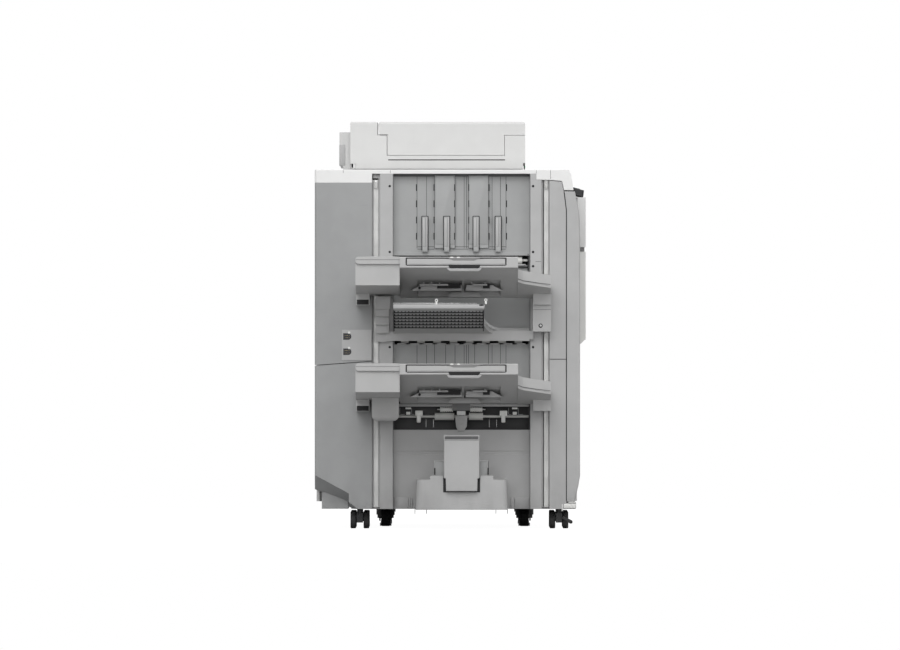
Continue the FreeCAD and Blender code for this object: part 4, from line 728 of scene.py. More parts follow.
@dataclass
class Studio:
    """The floor, the soft lights and the camera that looks along +Y at the delivery side."""

    distance: float = 33.0
    eye_height: float = 0.59
    focal_length: float = 456.0
    floor_reach: float = 3.2
    floor_front: float = 5.0
    lamps: tuple = (
        ("key", (-1.6, -5.2, 5.4), (6.0, 5.0), 300.0),
        ("fill", (4.2, -3.2, 3.0), (3.0, 3.5), 60.0),
        ("front", (0.2, -7.5, 1.3), (4.0, 2.2), 52.0),
        ("back", (0.0, 5.0, 4.5), (6.0, 4.0), 130.0),
    )

    def build(self) -> None:
        """Makes the whole studio."""
        self.camera()
        self.floor()
        self.sky()
        for name, place, size, power in self.lamps:
            self.lamp(name, place, size, power)

    def camera(self) -> None:
        """A long lens, so that the view is close to an elevation."""
        lens = bpy.data.cameras.new("camera")
        lens.lens = self.focal_length
        lens.sensor_width = 36.0
        lens.clip_end = 120.0
        eye = bpy.data.objects.new("camera", lens)
        eye.location = (-0.003, Box.of("rail_columns").low.y * MM - self.distance, self.eye_height)
        eye.rotation_euler = (math.radians(90), 0, 0)
        bpy.context.scene.collection.objects.link(eye)
        bpy.context.scene.camera = eye

    def floor(self) -> None:
        """A pale floor that ends behind the machine."""
        bm = bmesh.new()
        bmesh.ops.create_grid(bm, x_segments=1, y_segments=1, size=1.0)
        bmesh.ops.scale(bm, vec=(12.0, (self.floor_reach + self.floor_front) / 2, 1), verts=bm.verts)
        bmesh.ops.translate(bm, vec=(0, (self.floor_reach - self.floor_front) / 2, -0.0005), verts=bm.verts)
        mesh = bpy.data.meshes.new("floor")
        bm.to_mesh(mesh)
        bm.free()
        floor = bpy.data.objects.new("floor", mesh)
        bpy.context.scene.collection.objects.link(floor)
        material = bpy.data.materials.new("studio floor")
        material.use_nodes = True
        graph = Graph(material.node_tree)
        shader = material.node_tree.nodes["Principled BSDF"]
        seen = graph.add("LightPath").outputs["Is Camera Ray"]
        pale = graph.mix(graph.noise(1.4, 3.0), (0.975, 0.975, 0.975, 1), (0.985, 0.985, 0.985, 1))
        graph.tree.links.new(
            graph.mix(seen, (0.3, 0.3, 0.3, 1), (0.06, 0.06, 0.06, 1)), shader.inputs["Base Color"]
        )
        graph.tree.links.new(pale, shader.inputs["Emission Color"])
        graph.tree.links.new(seen, shader.inputs["Emission Strength"])
        shader.inputs["Roughness"].default_value = 0.9
        mesh.materials.append(material)

    def sky(self) -> None:
        """White to the eye, and a dome that is brighter above as a light."""
        world = bpy.data.worlds.new("studio")
        world.use_nodes = True
        graph = Graph(world.node_tree)
        seen = graph.add("LightPath").outputs["Is Camera Ray"]
        direction = graph.add("TexCoord").outputs["Generated"]
        height = graph.add("SeparateXYZ", {0: direction}).outputs["Z"]
        strength = graph.remap(height, (-0.25, 0.9), (0.28, 0.85))
        level = graph.add("Mix", {0: seen, 2: strength, 3: 1.0}, data_type="FLOAT").outputs[0]
        background = world.node_tree.nodes["Background"]
        graph.tree.links.new(level, background.inputs["Strength"])
        background.inputs["Color"].default_value = (1, 1, 1, 1)
        bpy.context.scene.world = world
        bpy.context.scene.view_settings.view_transform = "Standard"

    def lamp(self, name: str, place: Sequence[float], size: Span, power: float) -> None:
        """A large soft light aimed at the machine's middle."""
        light = bpy.data.lights.new(name, "AREA")
        light.shape = "RECTANGLE"
        light.size, light.size_y = size
        light.energy = power
        lamp = bpy.data.objects.new(name, light)
        lamp.location = place
        aim = Vector((0, -0.2, 0.55)) - Vector(place)
        lamp.rotation_euler = aim.to_track_quat("-Z", "Y").to_euler()
        bpy.context.scene.collection.objects.link(lamp)


# ------------------------------
# Finisher
# ------------------------------


@dataclass(frozen=True)
class Places:
    """Places on the finisher that several sub-assemblies share, worked out from the CAD nodes."""

    face: float
    wall: float
    bay: Span

    @classmethod
    def measure(cls) -> "Places":
        """Reads the places from the frame."""
        wall = Box.of("stacker_wall")
        return cls(Box.of("rail_columns").low.y, Box.of("booklet_wall").low.y, (wall.low.x, wall.high.x))

    @property
    def middle(self) -> float:
        """The bay's middle along X."""
        return sum(self.bay) / 2


PLACES = Places.measure()


@dataclass
class StackerWall:
    """The upright wall behind the stacking trays: seams, sheet slots, paddles and port teeth."""

    slot_lines: tuple[float, ...] = (-129.0, -78.3, -18.9, 20.1, 78.0, 128.7)
    seam_lines: tuple[float, ...] = (-101.4, -46.0, 7.5, 14.0, 38.0, 88.4, 112.5)
    slot_length: float = 20.0
    slot_pitch: float = 47.0
    slot_half: float = 1.6
    paddle_offsets: tuple[float, ...] = (-106.0, -43.0, 42.0, 106.0)
    paddle_width: float = 16.0
    paddle_top: float = 903.0
    paddle_foot: float = 806.0
    band_proud: float = 6.0
    panel_offsets: tuple[float, ...] = (-48.5, 49.0)
    panel_half: float = 27.0
    raised_half: float = 31.0
    foot_lines: tuple[float, ...] = (809.0, 816.0)
    foot_spans: tuple[Span, ...] = ((-128.0, -80.0), (-19.0, 20.0), (80.0, 128.0))
    lower_seams: Span = (390.0, 534.0)
    line_half: float = 0.7
    port_heights: tuple[float, ...] = (777.0, 548.0)
    tooth_count: int = 10
    tooth_start: float = 24.0
    tooth_pitch: float = 38.5

    def build(self) -> None:
        """Makes the wall's pieces."""
        self.seams()
        self.slots()
        self.panels()
        self.paddles()
        self.port_teeth()

    def depth(self, offset: float) -> float:
        """The wall's front at an offset from the bay's middle."""
        raised = any(abs(offset - panel) < self.raised_half for panel in self.panel_offsets)
        return PLACES.wall - (self.band_proud if raised else 0.0)

    def seams(self) -> None:
        """Fine moulding lines from the wall's top to its foot, above both trays' ports."""
        lines = Shaper()
        top = Box.of("stacker_wall").high.z
        for offset in (*self.seam_lines, *self.slot_lines):
            x = PLACES.middle + offset
            front = self.depth(offset)
            across = (x - self.line_half, x + self.line_half)
            lines.block(across, (front - 0.35, front + 0.2), (self.paddle_foot + 6, top - 6))
            lines.block(across, (PLACES.wall - 0.35, PLACES.wall + 0.2), self.lower_seams)
        for low, span in product(self.foot_lines, self.foot_spans):
            across = (PLACES.middle + span[0], PLACES.middle + span[1])
            front = self.depth(sum(span) / 2)
            lines.block(across, (front - 0.5, front + 0.2), (low, low + 2 * self.line_half))
        lines.piece("wall_seams", "machine", Slot.BAY, SOFT_LINE)

    def slots(self) -> None:
        """Short dark slots down six of the lines."""
        slots = Shaper()
        top = Box.of("stacker_wall").high.z - 30
        for offset in self.slot_lines:
            x = PLACES.middle + offset
            side = 1.3 if offset > 0 else -1.3
            front = self.depth(offset)
            z = top
            while z > self.paddle_foot + 14:
                across = (x + side - self.slot_half, x + side + self.slot_half)
                outline = rounded_panel(across, (z - self.slot_length, z), 1.5)
                slots.prism(Axis.Y, outline, (front - 0.6, front + 0.2))
                z -= self.slot_pitch
        slots.piece("wall_slots", "machine", Slot.BAY, SEAM_DARK)

    def panels(self) -> None:
        """The two raised panels' skins, rounded at the top."""
        panels = Shaper()
        top = Box.of("stacker_wall").high.z - 6
        front = PLACES.wall - self.band_proud
        for offset in self.panel_offsets:
            x = PLACES.middle + offset
            across = (x - self.panel_half, x + self.panel_half)
            outline = rounded_panel(across, (self.paddle_foot + 18, top), 9, top_only=True)
            panels.prism(Axis.Y, outline, (front - 1.2, front + 0.3), rounded=0.5)
        panels.piece("wall_panels", "machine", Slot.BAY, WALL_GREY)

    def paddles(self) -> None:
        """Sprung paddles that press the stack down, each in a dark well."""
        blades, wells, tips = Shaper(), Shaper(), Shaper()
        half = self.paddle_width / 2
        front = Box.of("stacker_wall").low.y
        for offset in self.paddle_offsets:
            x = PLACES.middle + offset
            well = rounded_panel(
                (x - half - 2.2, x + half + 2.2), (self.paddle_foot, self.paddle_top + 3), 2
            )
            wells.prism(Axis.Y, well, (PLACES.wall - 7.6, PLACES.wall - 6.9))
            blades.block(
                (x - half + 1, x + 1), (front - 0.8, front + 0.2),
                (self.paddle_foot + 12, self.paddle_top - 3), 0.3,
            )
            blades.block(
                (x + 3, x + half - 1), (front - 2.0, front + 0.2),
                (self.paddle_foot + 8, self.paddle_top - 2), 0.8,
            )
            tips.block(
                (x - half + 1, x + half - 1), (front - 3.5, front + 2),
                (self.paddle_foot - 4, self.paddle_foot + 9), 1.2,
            )
        wells.piece("paddle_wells", "machine", Slot.BAY, SEAM_DARK)
        blades.piece("paddle_blades", "machine", Slot.BAY, COVER_GREY_LIT)
        tips.piece("paddle_tips", "machine", Slot.BAY, WALL_GREY)

    def port_teeth(self) -> None:
        """Guide teeth and their dark gaps along each exit port."""
        teeth, gaps = Shaper(), Shaper()
        for height in self.port_heights:
            for index in range(self.tooth_count):
                x = PLACES.bay[0] + self.tooth_start + index * self.tooth_pitch
                teeth.block(
                    (x - 13, x + 13), (PLACES.wall - 3, PLACES.wall + 1.5), (height - 15, height - 10.5),
                    0.8,
                )
                gaps.dome((x + 18, PLACES.wall - 0.6, height - 12.5), 1.7, (1, 0.4, 1))
        teeth.piece("port_teeth", "machine", Slot.BAY, COVER_GREY_LIT)
        gaps.piece("port_teeth_gaps", "machine", Slot.BLACK, SEAM_DARK)


class Level(Enum):
    """The two stacking trays that ride up and down."""

    UPPER = "upper"
    LOWER = "lower"


@dataclass
class StackTray:
    """What finishes one stacking tray: reveals, finger notch, ramps under it and ribs on it."""

    level: Level
    slope: float = 0.2935
    reveal: float = 3.0
    notch_x: Span = (-6.4, 82.5)
    rib_count: int = 6
    rib_pitch: float = 55.0
    ledge_x: tuple[Span, ...] = ((-92.0, -8.0), (62.0, 104.0))
    web_x: tuple[float, ...] = (-78.0, -56.0, -33.0, 60.0, 98.0)
    latch_x: tuple[Span, ...] = ((-40.0, 28.0), (92.0, 112.0))
    ramp_shapes: tuple[tuple[Span, Span, Span, float], ...] = (
        ((-84.5, 31.0), (-118.7, 31.0), (79.9, 97.0), 158.0),
        ((44.9, 118.7), (42.0, 149.0), (79.9, 97.0), 158.0),
        ((1.7, 76.4), (-8.7, 87.7), (99.8, 114.1), 224.0),
    )

    def __post_init__(self) -> None:
        """Reads the tray's places from the frame."""
        self.name = self.level.value
        self.tray = Box.of(f"{self.name}_tray")
        self.leaf = Box.of(f"{self.name}_tray_extension")
        self.housing = Box.of(f"{self.name}_tray_housing")
        self.arm = Box.of(f"{self.name}_tray_arm")
        self.top = self.tray.high.z
        self.end = self.tray.low.y
        self.body = f"{self.name}_stack"

    def build(self) -> None:
        """Makes the tray's pieces."""
        self.leaf_reveal()
        self.finger_notch()
        self.ramps()
        self.under_pockets()
        self.top_ribs()
        self.arm_seam()
        self.housing_details()

    def surface(self, y: float, below: float = 0.0) -> float:
        """The height of the sloping surface at a place along Y."""
        return self.top - self.slope * (y - self.end) - below

    def leaf_reveal(self) -> None:
        """The dark joint round the pull-out leaf's end, and painted shade in the leaf's dipped top edge."""
        joint = Shaper()
        x0, x1 = self.leaf.low.x - 0.75, self.leaf.high.x + 0.75
        z1 = self.top - 2.6
        z0 = z1 - 20.6
        y = (self.end - 0.25, self.end + 0.4)
        for x in ((x0 - self.reveal, x0), (x1, x1 + self.reveal)):
            joint.block(x, y, (z0 - 1, z1))
        for x in ((x0, self.notch_x[0]), (self.notch_x[1], x1)):
            joint.block(x, y, (z0 - 2.2, z0 + 0.4))
            joint.block(x, y, (z1 - 2.6, z1))
        joint.piece(f"{self.name}_leaf_joint", self.body, Slot.TRAY, SEAM_DARK)
        dip = Shaper()
        left, right = self.notch_x
        outline = [
            (left - 10, z1), (right + 12, z1), (right + 10, z1 - 3), (right - 6, z1 - 4.5),
            (right - 16, z1 - 8), (left + 14, z1 - 8), (left + 4, z1 - 4.5), (left - 8, z1 - 3),
        ]
        dip.prism(Axis.Y, outline, (self.end - 0.25, self.end + 0.4))
        dip.piece(f"{self.name}_leaf_dip", f"{self.name}_extension", Slot.TRAY, TRAY_SHADED)
        lamps = Shaper()
        for x in (left + 8.5, left + 27.5):
            lamps.dome((x, self.end + 0.42, z1 + 0.4), 3.8, (1.3, 0.17, 0.7))
        lamps.piece(f"{self.name}_leaf_sensors", f"{self.name}_extension", Slot.TRAY, CLIP_WHITE)

    def finger_notch(self) -> None:
        """The dark notch under the leaf and the pale lip that hangs below it."""
        left, right = self.notch_x
        low = self.top - 33.5
        notch = Shaper()
        outline = [(right + 2, low + 11), (left - 2, low + 11)]
        outline += arc((left + 8, low + 9), 9, 180, 250, 4) + arc((right - 8, low + 9), 9, 290, 360, 4)
        notch.prism(Axis.Y, outline, (self.end - 0.3, self.end + 0.4))
        notch.piece(f"{self.name}_finger_notch", self.body, Slot.TRAY, SEAM_DARK)
        lip = Shaper()
        outline = [(right + 6, low + 1.5), (left - 6, low + 1.5), (left - 3, low - 4)]
        outline += [(left + 3, low - 8), (right - 3, low - 8), (right + 3, low - 4)]
        lip.prism(Axis.Y, outline, (self.end + 0.1, self.end + 26), rounded=1.5)
        lip.piece(f"{self.name}_notch_lip", self.body, Slot.TRAY, COVER_GREY_LIT)

    def ramps(self) -> None:
        """Flared stiffening ramps under the tray, two wide ones and a short one behind them."""
        ramps = Shaper()
        for upper, lower, drops, start in self.ramp_shapes:
            z1, z0 = (self.top - drop for drop in drops)
            front = self.end + start
            near = [(upper[0], z1), (upper[1], z1), (lower[1], z0), (lower[0], z0)]
            far = [(upper[0], z1 - 14), (upper[1], z1 - 14), (lower[1], z0 + 0.2), (lower[0], z0 + 0.2)]
            ramps.prism(Axis.Y, near, (front, front + 50), far_outline=far, rounded=0.8)
        ramps.piece(f"{self.name}_tray_ramps", self.body, Slot.TRAY, TRAY_SKIN)

    def under_pockets(self) -> None:
        """Ledges, ribs and dark latches inside the pockets of the tray's underside."""
        ledges, latches = Shaper(), Shaper()
        y = self.end + 140
        high = self.surface(y, 33)
        for x in self.ledge_x:
            ledges.block(x, (y, y + 10), (high - 8, high - 3), 0.8)
        for x in self.web_x:
            ledges.block((x - 1, x + 1), (self.end + 100, y), (high - 3, high + 2))
        for x in self.latch_x:
            latches.block(x, (y + 1, y + 8), (high - 16, high - 1), 0.6)
        latches.dome((-91.0, y + 4, high - 15), 4.0)
        ledges.piece(f"{self.name}_pocket_ledges", self.body, Slot.TRAY, TRAY_SKIN)
        latches.piece(f"{self.name}_pocket_latches", self.body, Slot.TRAY, SEAM_DARK)

    def top_ribs(self) -> None:
        """Low ribs along the tray that let the sheets slide."""
        ribs = Shaper()
        start, stop = self.end + 12, self.tray.high.y - 8
        for index in range(self.rib_count):
            x = self.tray.low.x + 30 + index * self.rib_pitch
            outline = [
                (start, self.surface(start) - 0.5), (stop, self.surface(stop) - 0.5),
                (stop, self.surface(stop) + 1.2), (start + 4, self.surface(start + 4) + 1.2),
            ]
            ribs.prism(Axis.X, outline, (x - 1.6, x + 1.6), rounded=0.4)
        ribs.piece(f"{self.name}_tray_ribs", self.body, Slot.TRAY, TRAY_SKIN)

    def arm_seam(self) -> None:
        """The fine step along the swept front arm."""
        front = self.tray.high.x
        points = []
        for x, reach in (
            (front + 1, 119.5), (front + 14, 136.6), (front + 52, 156.4), (self.arm.high.x - 2, 174.5)
        ):
            y = self.end + reach
            points.append((x, y, self.surface(y, 27.5)))
        Shaper().wire(points, 0.8).piece(f"{self.name}_arm_seam", self.body, Slot.TRAY, SOFT_LINE)

    def housing_details(self) -> None:
        """The rear housing's parting line, and its underside block painted dark as shadow."""
        low = self.housing.low
        line = Shaper()
        line.block(
            (low.x + 1, self.tray.low.x), (self.end + 2.7, self.end + 4), (self.top - 8.6, self.top - 7.6)
        )
        line.piece(f"{self.name}_housing_line", self.body, Slot.TRAY, SOFT_LINE)
        # The block under the housing is painted in seam shadow: painted shade.
        foot = Shaper()
        front = self.tray.high.y - 60.4
        foot.block((low.x + 2, low.x + 37), (front, front + 2), (self.top - 137, self.top - 122), 0.8)
        foot.piece(f"{self.name}_housing_foot", self.body, Slot.TRAY, SEAM_DARK)


@dataclass
class MiddleTray:
    """The fixed middle tray: rounded rim, lattice under it, swept lip, clips and guide wire."""

    nub: tuple[float, float, float] = (6.6, 5.0, 4.4)
    nub_pitch: float = 10.2
    row_pitch: float = 28.5
    rows: int = 6
    slope: float = 0.3088
    screw_place: Point = (259.0, 588.0)
    bracket_reach: float = 40.0
    clip_places: tuple[Point, ...] = ((-42.0, 4.0), (100.0, 5.0))

    def build(self) -> None:
        """Makes the middle tray's pieces."""
        self.tray = Box.of("middle_tray")
        self.end = self.tray.low.y
        self.top = self.tray.high.z - 23
        self.x = (PLACES.bay[0] + 1, PLACES.bay[0] + 264)
        self.rim()
        self.lattice()
        self.lip()
        self.clips()
        self.screws()

    def rim(self) -> None:
        """The bright rounded rim along the tray's end, with its curled front corner."""
        rim = Shaper().block(
            self.x, (self.end - 2, self.end + 14), (self.top - 12.6, self.top + 0.6), 2.6, 3
        )
        rim.piece("middle_tray_rim", "machine", Slot.TRAY, COVER_GREY_LIT)
        curl = Shaper().dome((self.x[1] - 9, self.end - 1.4, self.top - 2), 8.0, (1, 0.18, 0.32))
        curl.piece("middle_tray_curl", "machine", Slot.TRAY, SEAM_DARK)
        wire = Shaper().rod(
            Axis.X, (self.end + 6, self.top + 3.4), 1.1, (self.x[0], self.x[1] - 22), 10, rounded=0.3
        )
        wire.piece("middle_tray_guide_wire", "machine", Slot.RAIL, SHAFT_STEEL)

    def under(self, y: float) -> float:
        """The height of the underside at a place along Y."""
        return self.top - 12 - self.slope * (y - self.end)

    def lattice(self) -> None:
        """Rows of small square nubs that stiffen the underside, over a dark web."""
        nubs, web = Shaper(), Shaper()
        wide, deep, tall = self.nub
        columns = int((self.x[1] - self.x[0] - 8) / self.nub_pitch)
        for row in range(self.rows):
            y = self.end + 17 + row * self.row_pitch
            z = self.under(y)
            for column in range(columns):
                x = self.x[0] + 6 + column * self.nub_pitch
                nubs.block((x, x + wide), (y, y + deep), (z - tall, z + 1.5))
            web.block(
                (self.x[0] + 3, self.x[1] - 3), (y + deep - 1, y + deep + 0.5), (z - tall - 3.2, z + 1)
            )
        for x in (self.x[0] + 2, self.x[1] - 3):
            start, stop = self.end + 14, self.end + 14 + self.rows * self.row_pitch
            outline = [
                (start, self.under(start) + 1), (stop, self.under(stop) + 1),
                (stop, self.under(stop) - 8), (start, self.under(start) - 5),
            ]
            web.prism(Axis.X, outline, (x - 1.2, x + 1.2))
        nubs.piece("middle_tray_nubs", "machine", Slot.TRAY, WALL_GREY)
        web.piece("middle_tray_web", "machine", Slot.TRAY, SEAM_DARK)

    def lip(self) -> None:
        """The pale lip that sweeps round the tray's cut-away front corner."""
        face = PLACES.face
        front = PLACES.bay[1]
        plan = [
            (front - 133, face - 85), (front - 127, face - 55), (front - 118, face - 30),
            (front - 105, face - 8),
        ]
        plan += [(front - 88, face + 6), (front - 3, face + 9)]
        lip = Shaper()
        for (xa, ya), (xb, yb) in zip(plan, plan[1:]):
            za, zb = self.under(ya) + 22, self.under(yb) + 22
            outline = [(xa - 0.6, za), (xb + 0.6, zb), (xb + 0.6, zb - 9), (xa - 0.6, za - 9)]
            lip.prism(Axis.Y, outline, (min(ya, yb) - 4, min(ya, yb)))
        lip.piece("middle_tray_lip", "machine", Slot.TRAY, COVER_GREY_LIT)

    def clips(self) -> None:
        """Two white sheet clips that stand on the rim."""
        clips = Shaper()
        for x, rise in self.clip_places:
            z = self.top + rise
            clips.block((x - 2.8, x + 2.8), (self.end + 2, self.end + 5), (z - 4, z + 3.5), 0.9)
            clips.turned(
                Axis.Y, (x, z + 7.5),
                [(self.end + 2, 2.4), (self.end + 2, 4.6), (self.end + 5, 4.6), (self.end + 5, 2.4)], 20,
            )
        clips.piece("middle_tray_clips", "machine", Slot.TRAY, CLIP_WHITE)

    def screws(self) -> None:
        """The screw in its cup on the front bracket, and the bracket's joint."""
        x, z = self.screw_place
        front = PLACES.face - self.bracket_reach
        cup = Shaper().turned(
            Axis.Y, (x, z),
            [(front - 0.4, 3.8), (front - 0.4, 6.0), (front + 0.2, 6.0), (front + 0.2, 3.8)], 24,
        )
        cup.piece("bracket_screw_cup", "machine", Slot.TRAY, SEAM_DARK)
        head = Shaper().dome((x, front - 0.1, z), 3.6, (1, 0.4, 1))
        head.piece("bracket_screw", "machine", Slot.SCREW, SHAFT_STEEL)
        joint = Shaper().block(
            (238, 288.5), (front - PROUD, front + PROUD), (self.top - 14.8, self.top - 13.8)
        )
        joint.piece("bracket_joint", "machine", Slot.TRAY, SOFT_LINE)


@dataclass
class BookletExit:
    """The booklet exit: cross bar, hooks, idlers, side clips, centre bracket and sheet wires."""

    hook_x: tuple[Span, ...] = ((-104.0, -82.0), (141.0, 163.0))
    clip_x: tuple[Span, ...] = ((-132.0, -116.0), (176.5, 192.5))
    idler_x: tuple[Span, ...] = ((-32.0, 6.0), (55.0, 91.0))
    wire_x: tuple[float, ...] = (-72.3, -51.2, 110.8, 132.0)
    frame_x: tuple[Span, ...] = ((-149.0, -133.5), (194.0, 209.0), (-115.0, -106.0), (166.0, 175.0))
    bar_z: Span = (353.5, 361.0)
    hook_z: Span = (326.0, 342.0)
    finger_z: Span = (307.0, 330.0)
    clip_z: Span = (346.0, 351.0)
    clip_foot_z: Span = (330.0, 338.5)
    frame_z: Span = (330.0, 350.0)
    wire_z: tuple[float, float, float] = (318.0, 314.0, 294.0)
    shaft_x: Span = (-40.0, 100.0)
    head_z: Span = (342.0, 365.0)
    window_z: Span = (328.5, 341.0)
    tongue_z: tuple[float, float, float] = (327.5, 296.0, 282.0)
    idler_place: Point = (14.0, 345.5)
    idler_steps: int = 7
    bore: float = 2.2
    core: float = 6.0
    rib: float = 7.3

    def build(self) -> None:
        """Makes the booklet exit's pieces."""
        wall = PLACES.wall
        self.bar_and_hooks(wall)
        self.idlers(wall)
        self.bracket(wall)
        wires = Shaper()
        top, bend, end = self.wire_z
        for x in self.wire_x:
            wires.wire([(x, wall + 6, top), (x, wall - 1, bend), (x, wall - 1, end)], 0.9)
        wires.piece("booklet_sheet_wires", "machine", Slot.RAIL, SHAFT_STEEL)

    def bar_and_hooks(self, wall: float) -> None:
        """The pale cross bar with the parts that hang from it."""
        bar = Shaper().block(
            (PLACES.bay[0] + 16, PLACES.bay[1] - 1), (wall + 3, wall + 7.5), self.bar_z, 1.0
        )
        bar.piece("booklet_cross_bar", "machine", Slot.BAY, COVER_GREY_LIT)
        hooks = Shaper()
        for x in self.hook_x:
            hooks.block(x, (wall + 2, wall + 9), self.hook_z, 1.6)
            middle = sum(x) / 2
            hooks.block((middle - 6.5, middle + 5.5), (wall + 1, wall + 7), self.finger_z, 3.0, 3)
        for x in self.clip_x:
            hooks.block(x, (wall + 2, wall + 5), self.clip_z, 0.8)
            hooks.block((x[0] + 2, x[1] - 2), (wall + 2, wall + 6), self.clip_foot_z, 0.8)
        hooks.piece("booklet_hooks", "machine", Slot.BAY, CLIP_WHITE)
        frames = Shaper()
        y, foot = (wall + 2, wall + 3.2), self.frame_z[0]
        for x in self.frame_x:
            frames.block(x, y, (foot, foot + 1.5))
            frames.block((x[0], x[0] + 1.4), y, self.frame_z)
        frames.piece("booklet_hook_frames", "machine", Slot.BAY, WALL_GREY)

    def idlers(self, wall: float) -> None:
        """White ribbed idlers above the driven rollers, on their own shaft."""
        idlers = Shaper()
        core, rib = self.core, self.rib
        centre = (wall + self.idler_place[0], self.idler_place[1])
        for low, high in self.idler_x:
            profile = [(low, self.bore), (low, core)]
            for step in range(self.idler_steps):
                along = low + (high - low) * (step + 0.5) / self.idler_steps
                half = (high - low) / self.idler_steps * 0.36
                start, stop = along - half, along + half
                profile += [(start, core), (start, rib), (stop, rib), (stop, core)]
            profile += [(high, core), (high, self.bore)]
            idlers.turned(Axis.X, centre, profile, 24)
        idlers.piece("booklet_idlers", "machine", Slot.ROLLER, CLIP_WHITE)
        shaft = Shaper().rod(Axis.X, centre, self.bore - 0.1, self.shaft_x, 12)
        shaft.piece("booklet_idler_shaft", "machine", Slot.RAIL, SHAFT_STEEL)

    def bracket(self, wall: float) -> None:
        """The hanging centre bracket that folds each booklet's tail down."""
        x = PLACES.middle - 1
        # The head takes the shaded copy of tray grey.
        dark = Shaper().block((x - 26, x + 26), (wall + 1, wall + 9), self.head_z, 1.2)
        dark.piece("booklet_bracket_head", "machine", Slot.BLACK, TRAY_SHADED)
        window = Shaper().block((x - 12.5, x + 12.5), (wall - 0.5, wall + 5), self.window_z, 1.0)
        window.piece("booklet_bracket_window", "machine", Slot.BAY, WHITE_SKIN)
        tongue = Shaper()
        top, waist, tip = self.tongue_z
        outline = [
            (x - 18, top), (x + 18, top), (x + 16, waist), (x + 7, tip), (x - 9, tip), (x - 15, waist)
        ]
        tongue.prism(Axis.Y, outline, (wall - 4, wall), rounded=0.8)
        tongue.block((x - 11, x + 9), (wall - 5.2, wall - 4), (286, 318), 0.5)
        tongue.dome((x + 1, wall - 5.2, 303), 2.6, (1, 0.5, 1))
        tongue.piece("booklet_bracket_tongue", "machine", Slot.BAY, TRAY_SKIN)


@dataclass
class BookletTray:
    """The booklet bin at the finisher's foot: rear frame, painted shade round the stop, foot panels and
    tabs.
    """

    frame_x: Span = (-49.0, 107.0)
    frame_top: float = 199.0
    frame_foot: float = 150.0
    infill_foot: float = 140.0
    slot_z: Span = (158.0, 178.0)
    tab_x: tuple[float, ...] = (-104.5, -71.0, 130.0, 163.5)
    panels: tuple[Span, ...] = (
        (-165.0, -124.0), (-122.5, -118.0), (-116.5, -112.0), (173.0, 182.0), (184.0, 226.0)
    )

    def build(self) -> None:
        """Makes the booklet bin's pieces."""
        self.rear_frame()
        self.stop_details()
        self.foot_panels()

    def rear_frame(self) -> None:
        """The frame that stands behind the stop plate, with its dark end slots."""
        y = Box.of("booklet_stop").high.y + 6
        x0, x1 = self.frame_x
        frame_bars, dark, infill = Shaper(), Shaper(), Shaper()
        frame_bars.block((x0, x1), (y, y + 4), (self.frame_top - 3, self.frame_top), 0.6)
        for x in ((x0, x0 + 2), (x1 - 2, x1)):
            frame_bars.block(x, (y, y + 4), (self.frame_foot, self.frame_top - 2.5))
            dark.block((x[0] + 0.2, x[1] + 1.8), (y - 0.6, y - 0.1), self.slot_z)
        infill.block((x0 + 2, x1 - 2), (y + 1.5, y + 3.5), (self.infill_foot, self.frame_top - 3))
        frame_bars.piece("booklet_frame_bars", "machine", Slot.BAY, COVER_GREY_LIT)
        dark.piece("booklet_frame_slots", "machine", Slot.BAY, SEAM_DARK)
        infill.piece("booklet_frame_infill", "machine", Slot.BAY, WALL_GREY)

    def stop_details(self) -> None:
        """Painted shadow in the gap round the stop's foot, and painted shade on and under its lip."""
        stop = Box.of("booklet_stop")
        bin_front = Box.of("booklet_tray").low.y
        # A dark plate in the gap behind the stop's foot: painted shadow.
        reveal = Shaper().block(
            (stop.low.x - 2.2, stop.high.x + 2.2), (bin_front - 0.8, bin_front + 0.2),
            (stop.low.z - 3, stop.low.z + 39),
        )
        reveal.piece("booklet_stop_shadow", "machine", Slot.BAY, SEAM_DARK)
        # A dark line under the lip and a dark plate on its face: painted shade.
        lip_shade = Shaper().block(
            (stop.low.x + 1.5, stop.high.x - 1.5), (stop.low.y - PROUD, stop.low.y + PROUD),
            (stop.high.z - 14.6, stop.high.z - 13.4),
        )
        lip_shade.block(
            (stop.low.x + 3, stop.high.x - 3), (stop.low.y - 1.4, stop.low.y + 0.5),
            (stop.high.z - 11, stop.high.z - 3), 1.0,
        )
        lip_shade.piece("booklet_stop_lip_shade", "booklet_gate", Slot.BAY, SOFT_LINE)

    def foot_panels(self) -> None:
        """Small panels along the wall's foot and the tabs that reach below the frame."""
        foot = Box.of("booklet_wall").low.z
        skins, tabs = Shaper(), Shaper()
        for low, high in self.panels:
            skins.block((low, high), (PLACES.wall - 3, PLACES.wall + 0.5), (foot, foot + 33), 0.8)
        for x in self.tab_x:
            tabs.block((x - 0.9, x + 0.9), (PLACES.wall - 12, PLACES.wall - 2), (foot - 14, foot + 6), 0.3)
        skins.piece("wall_foot_panels", "machine", Slot.BAY, COVER_GREY_LIT)
        tabs.piece("wall_foot_tabs", "machine", Slot.CHASSIS, DARK_STEEL)


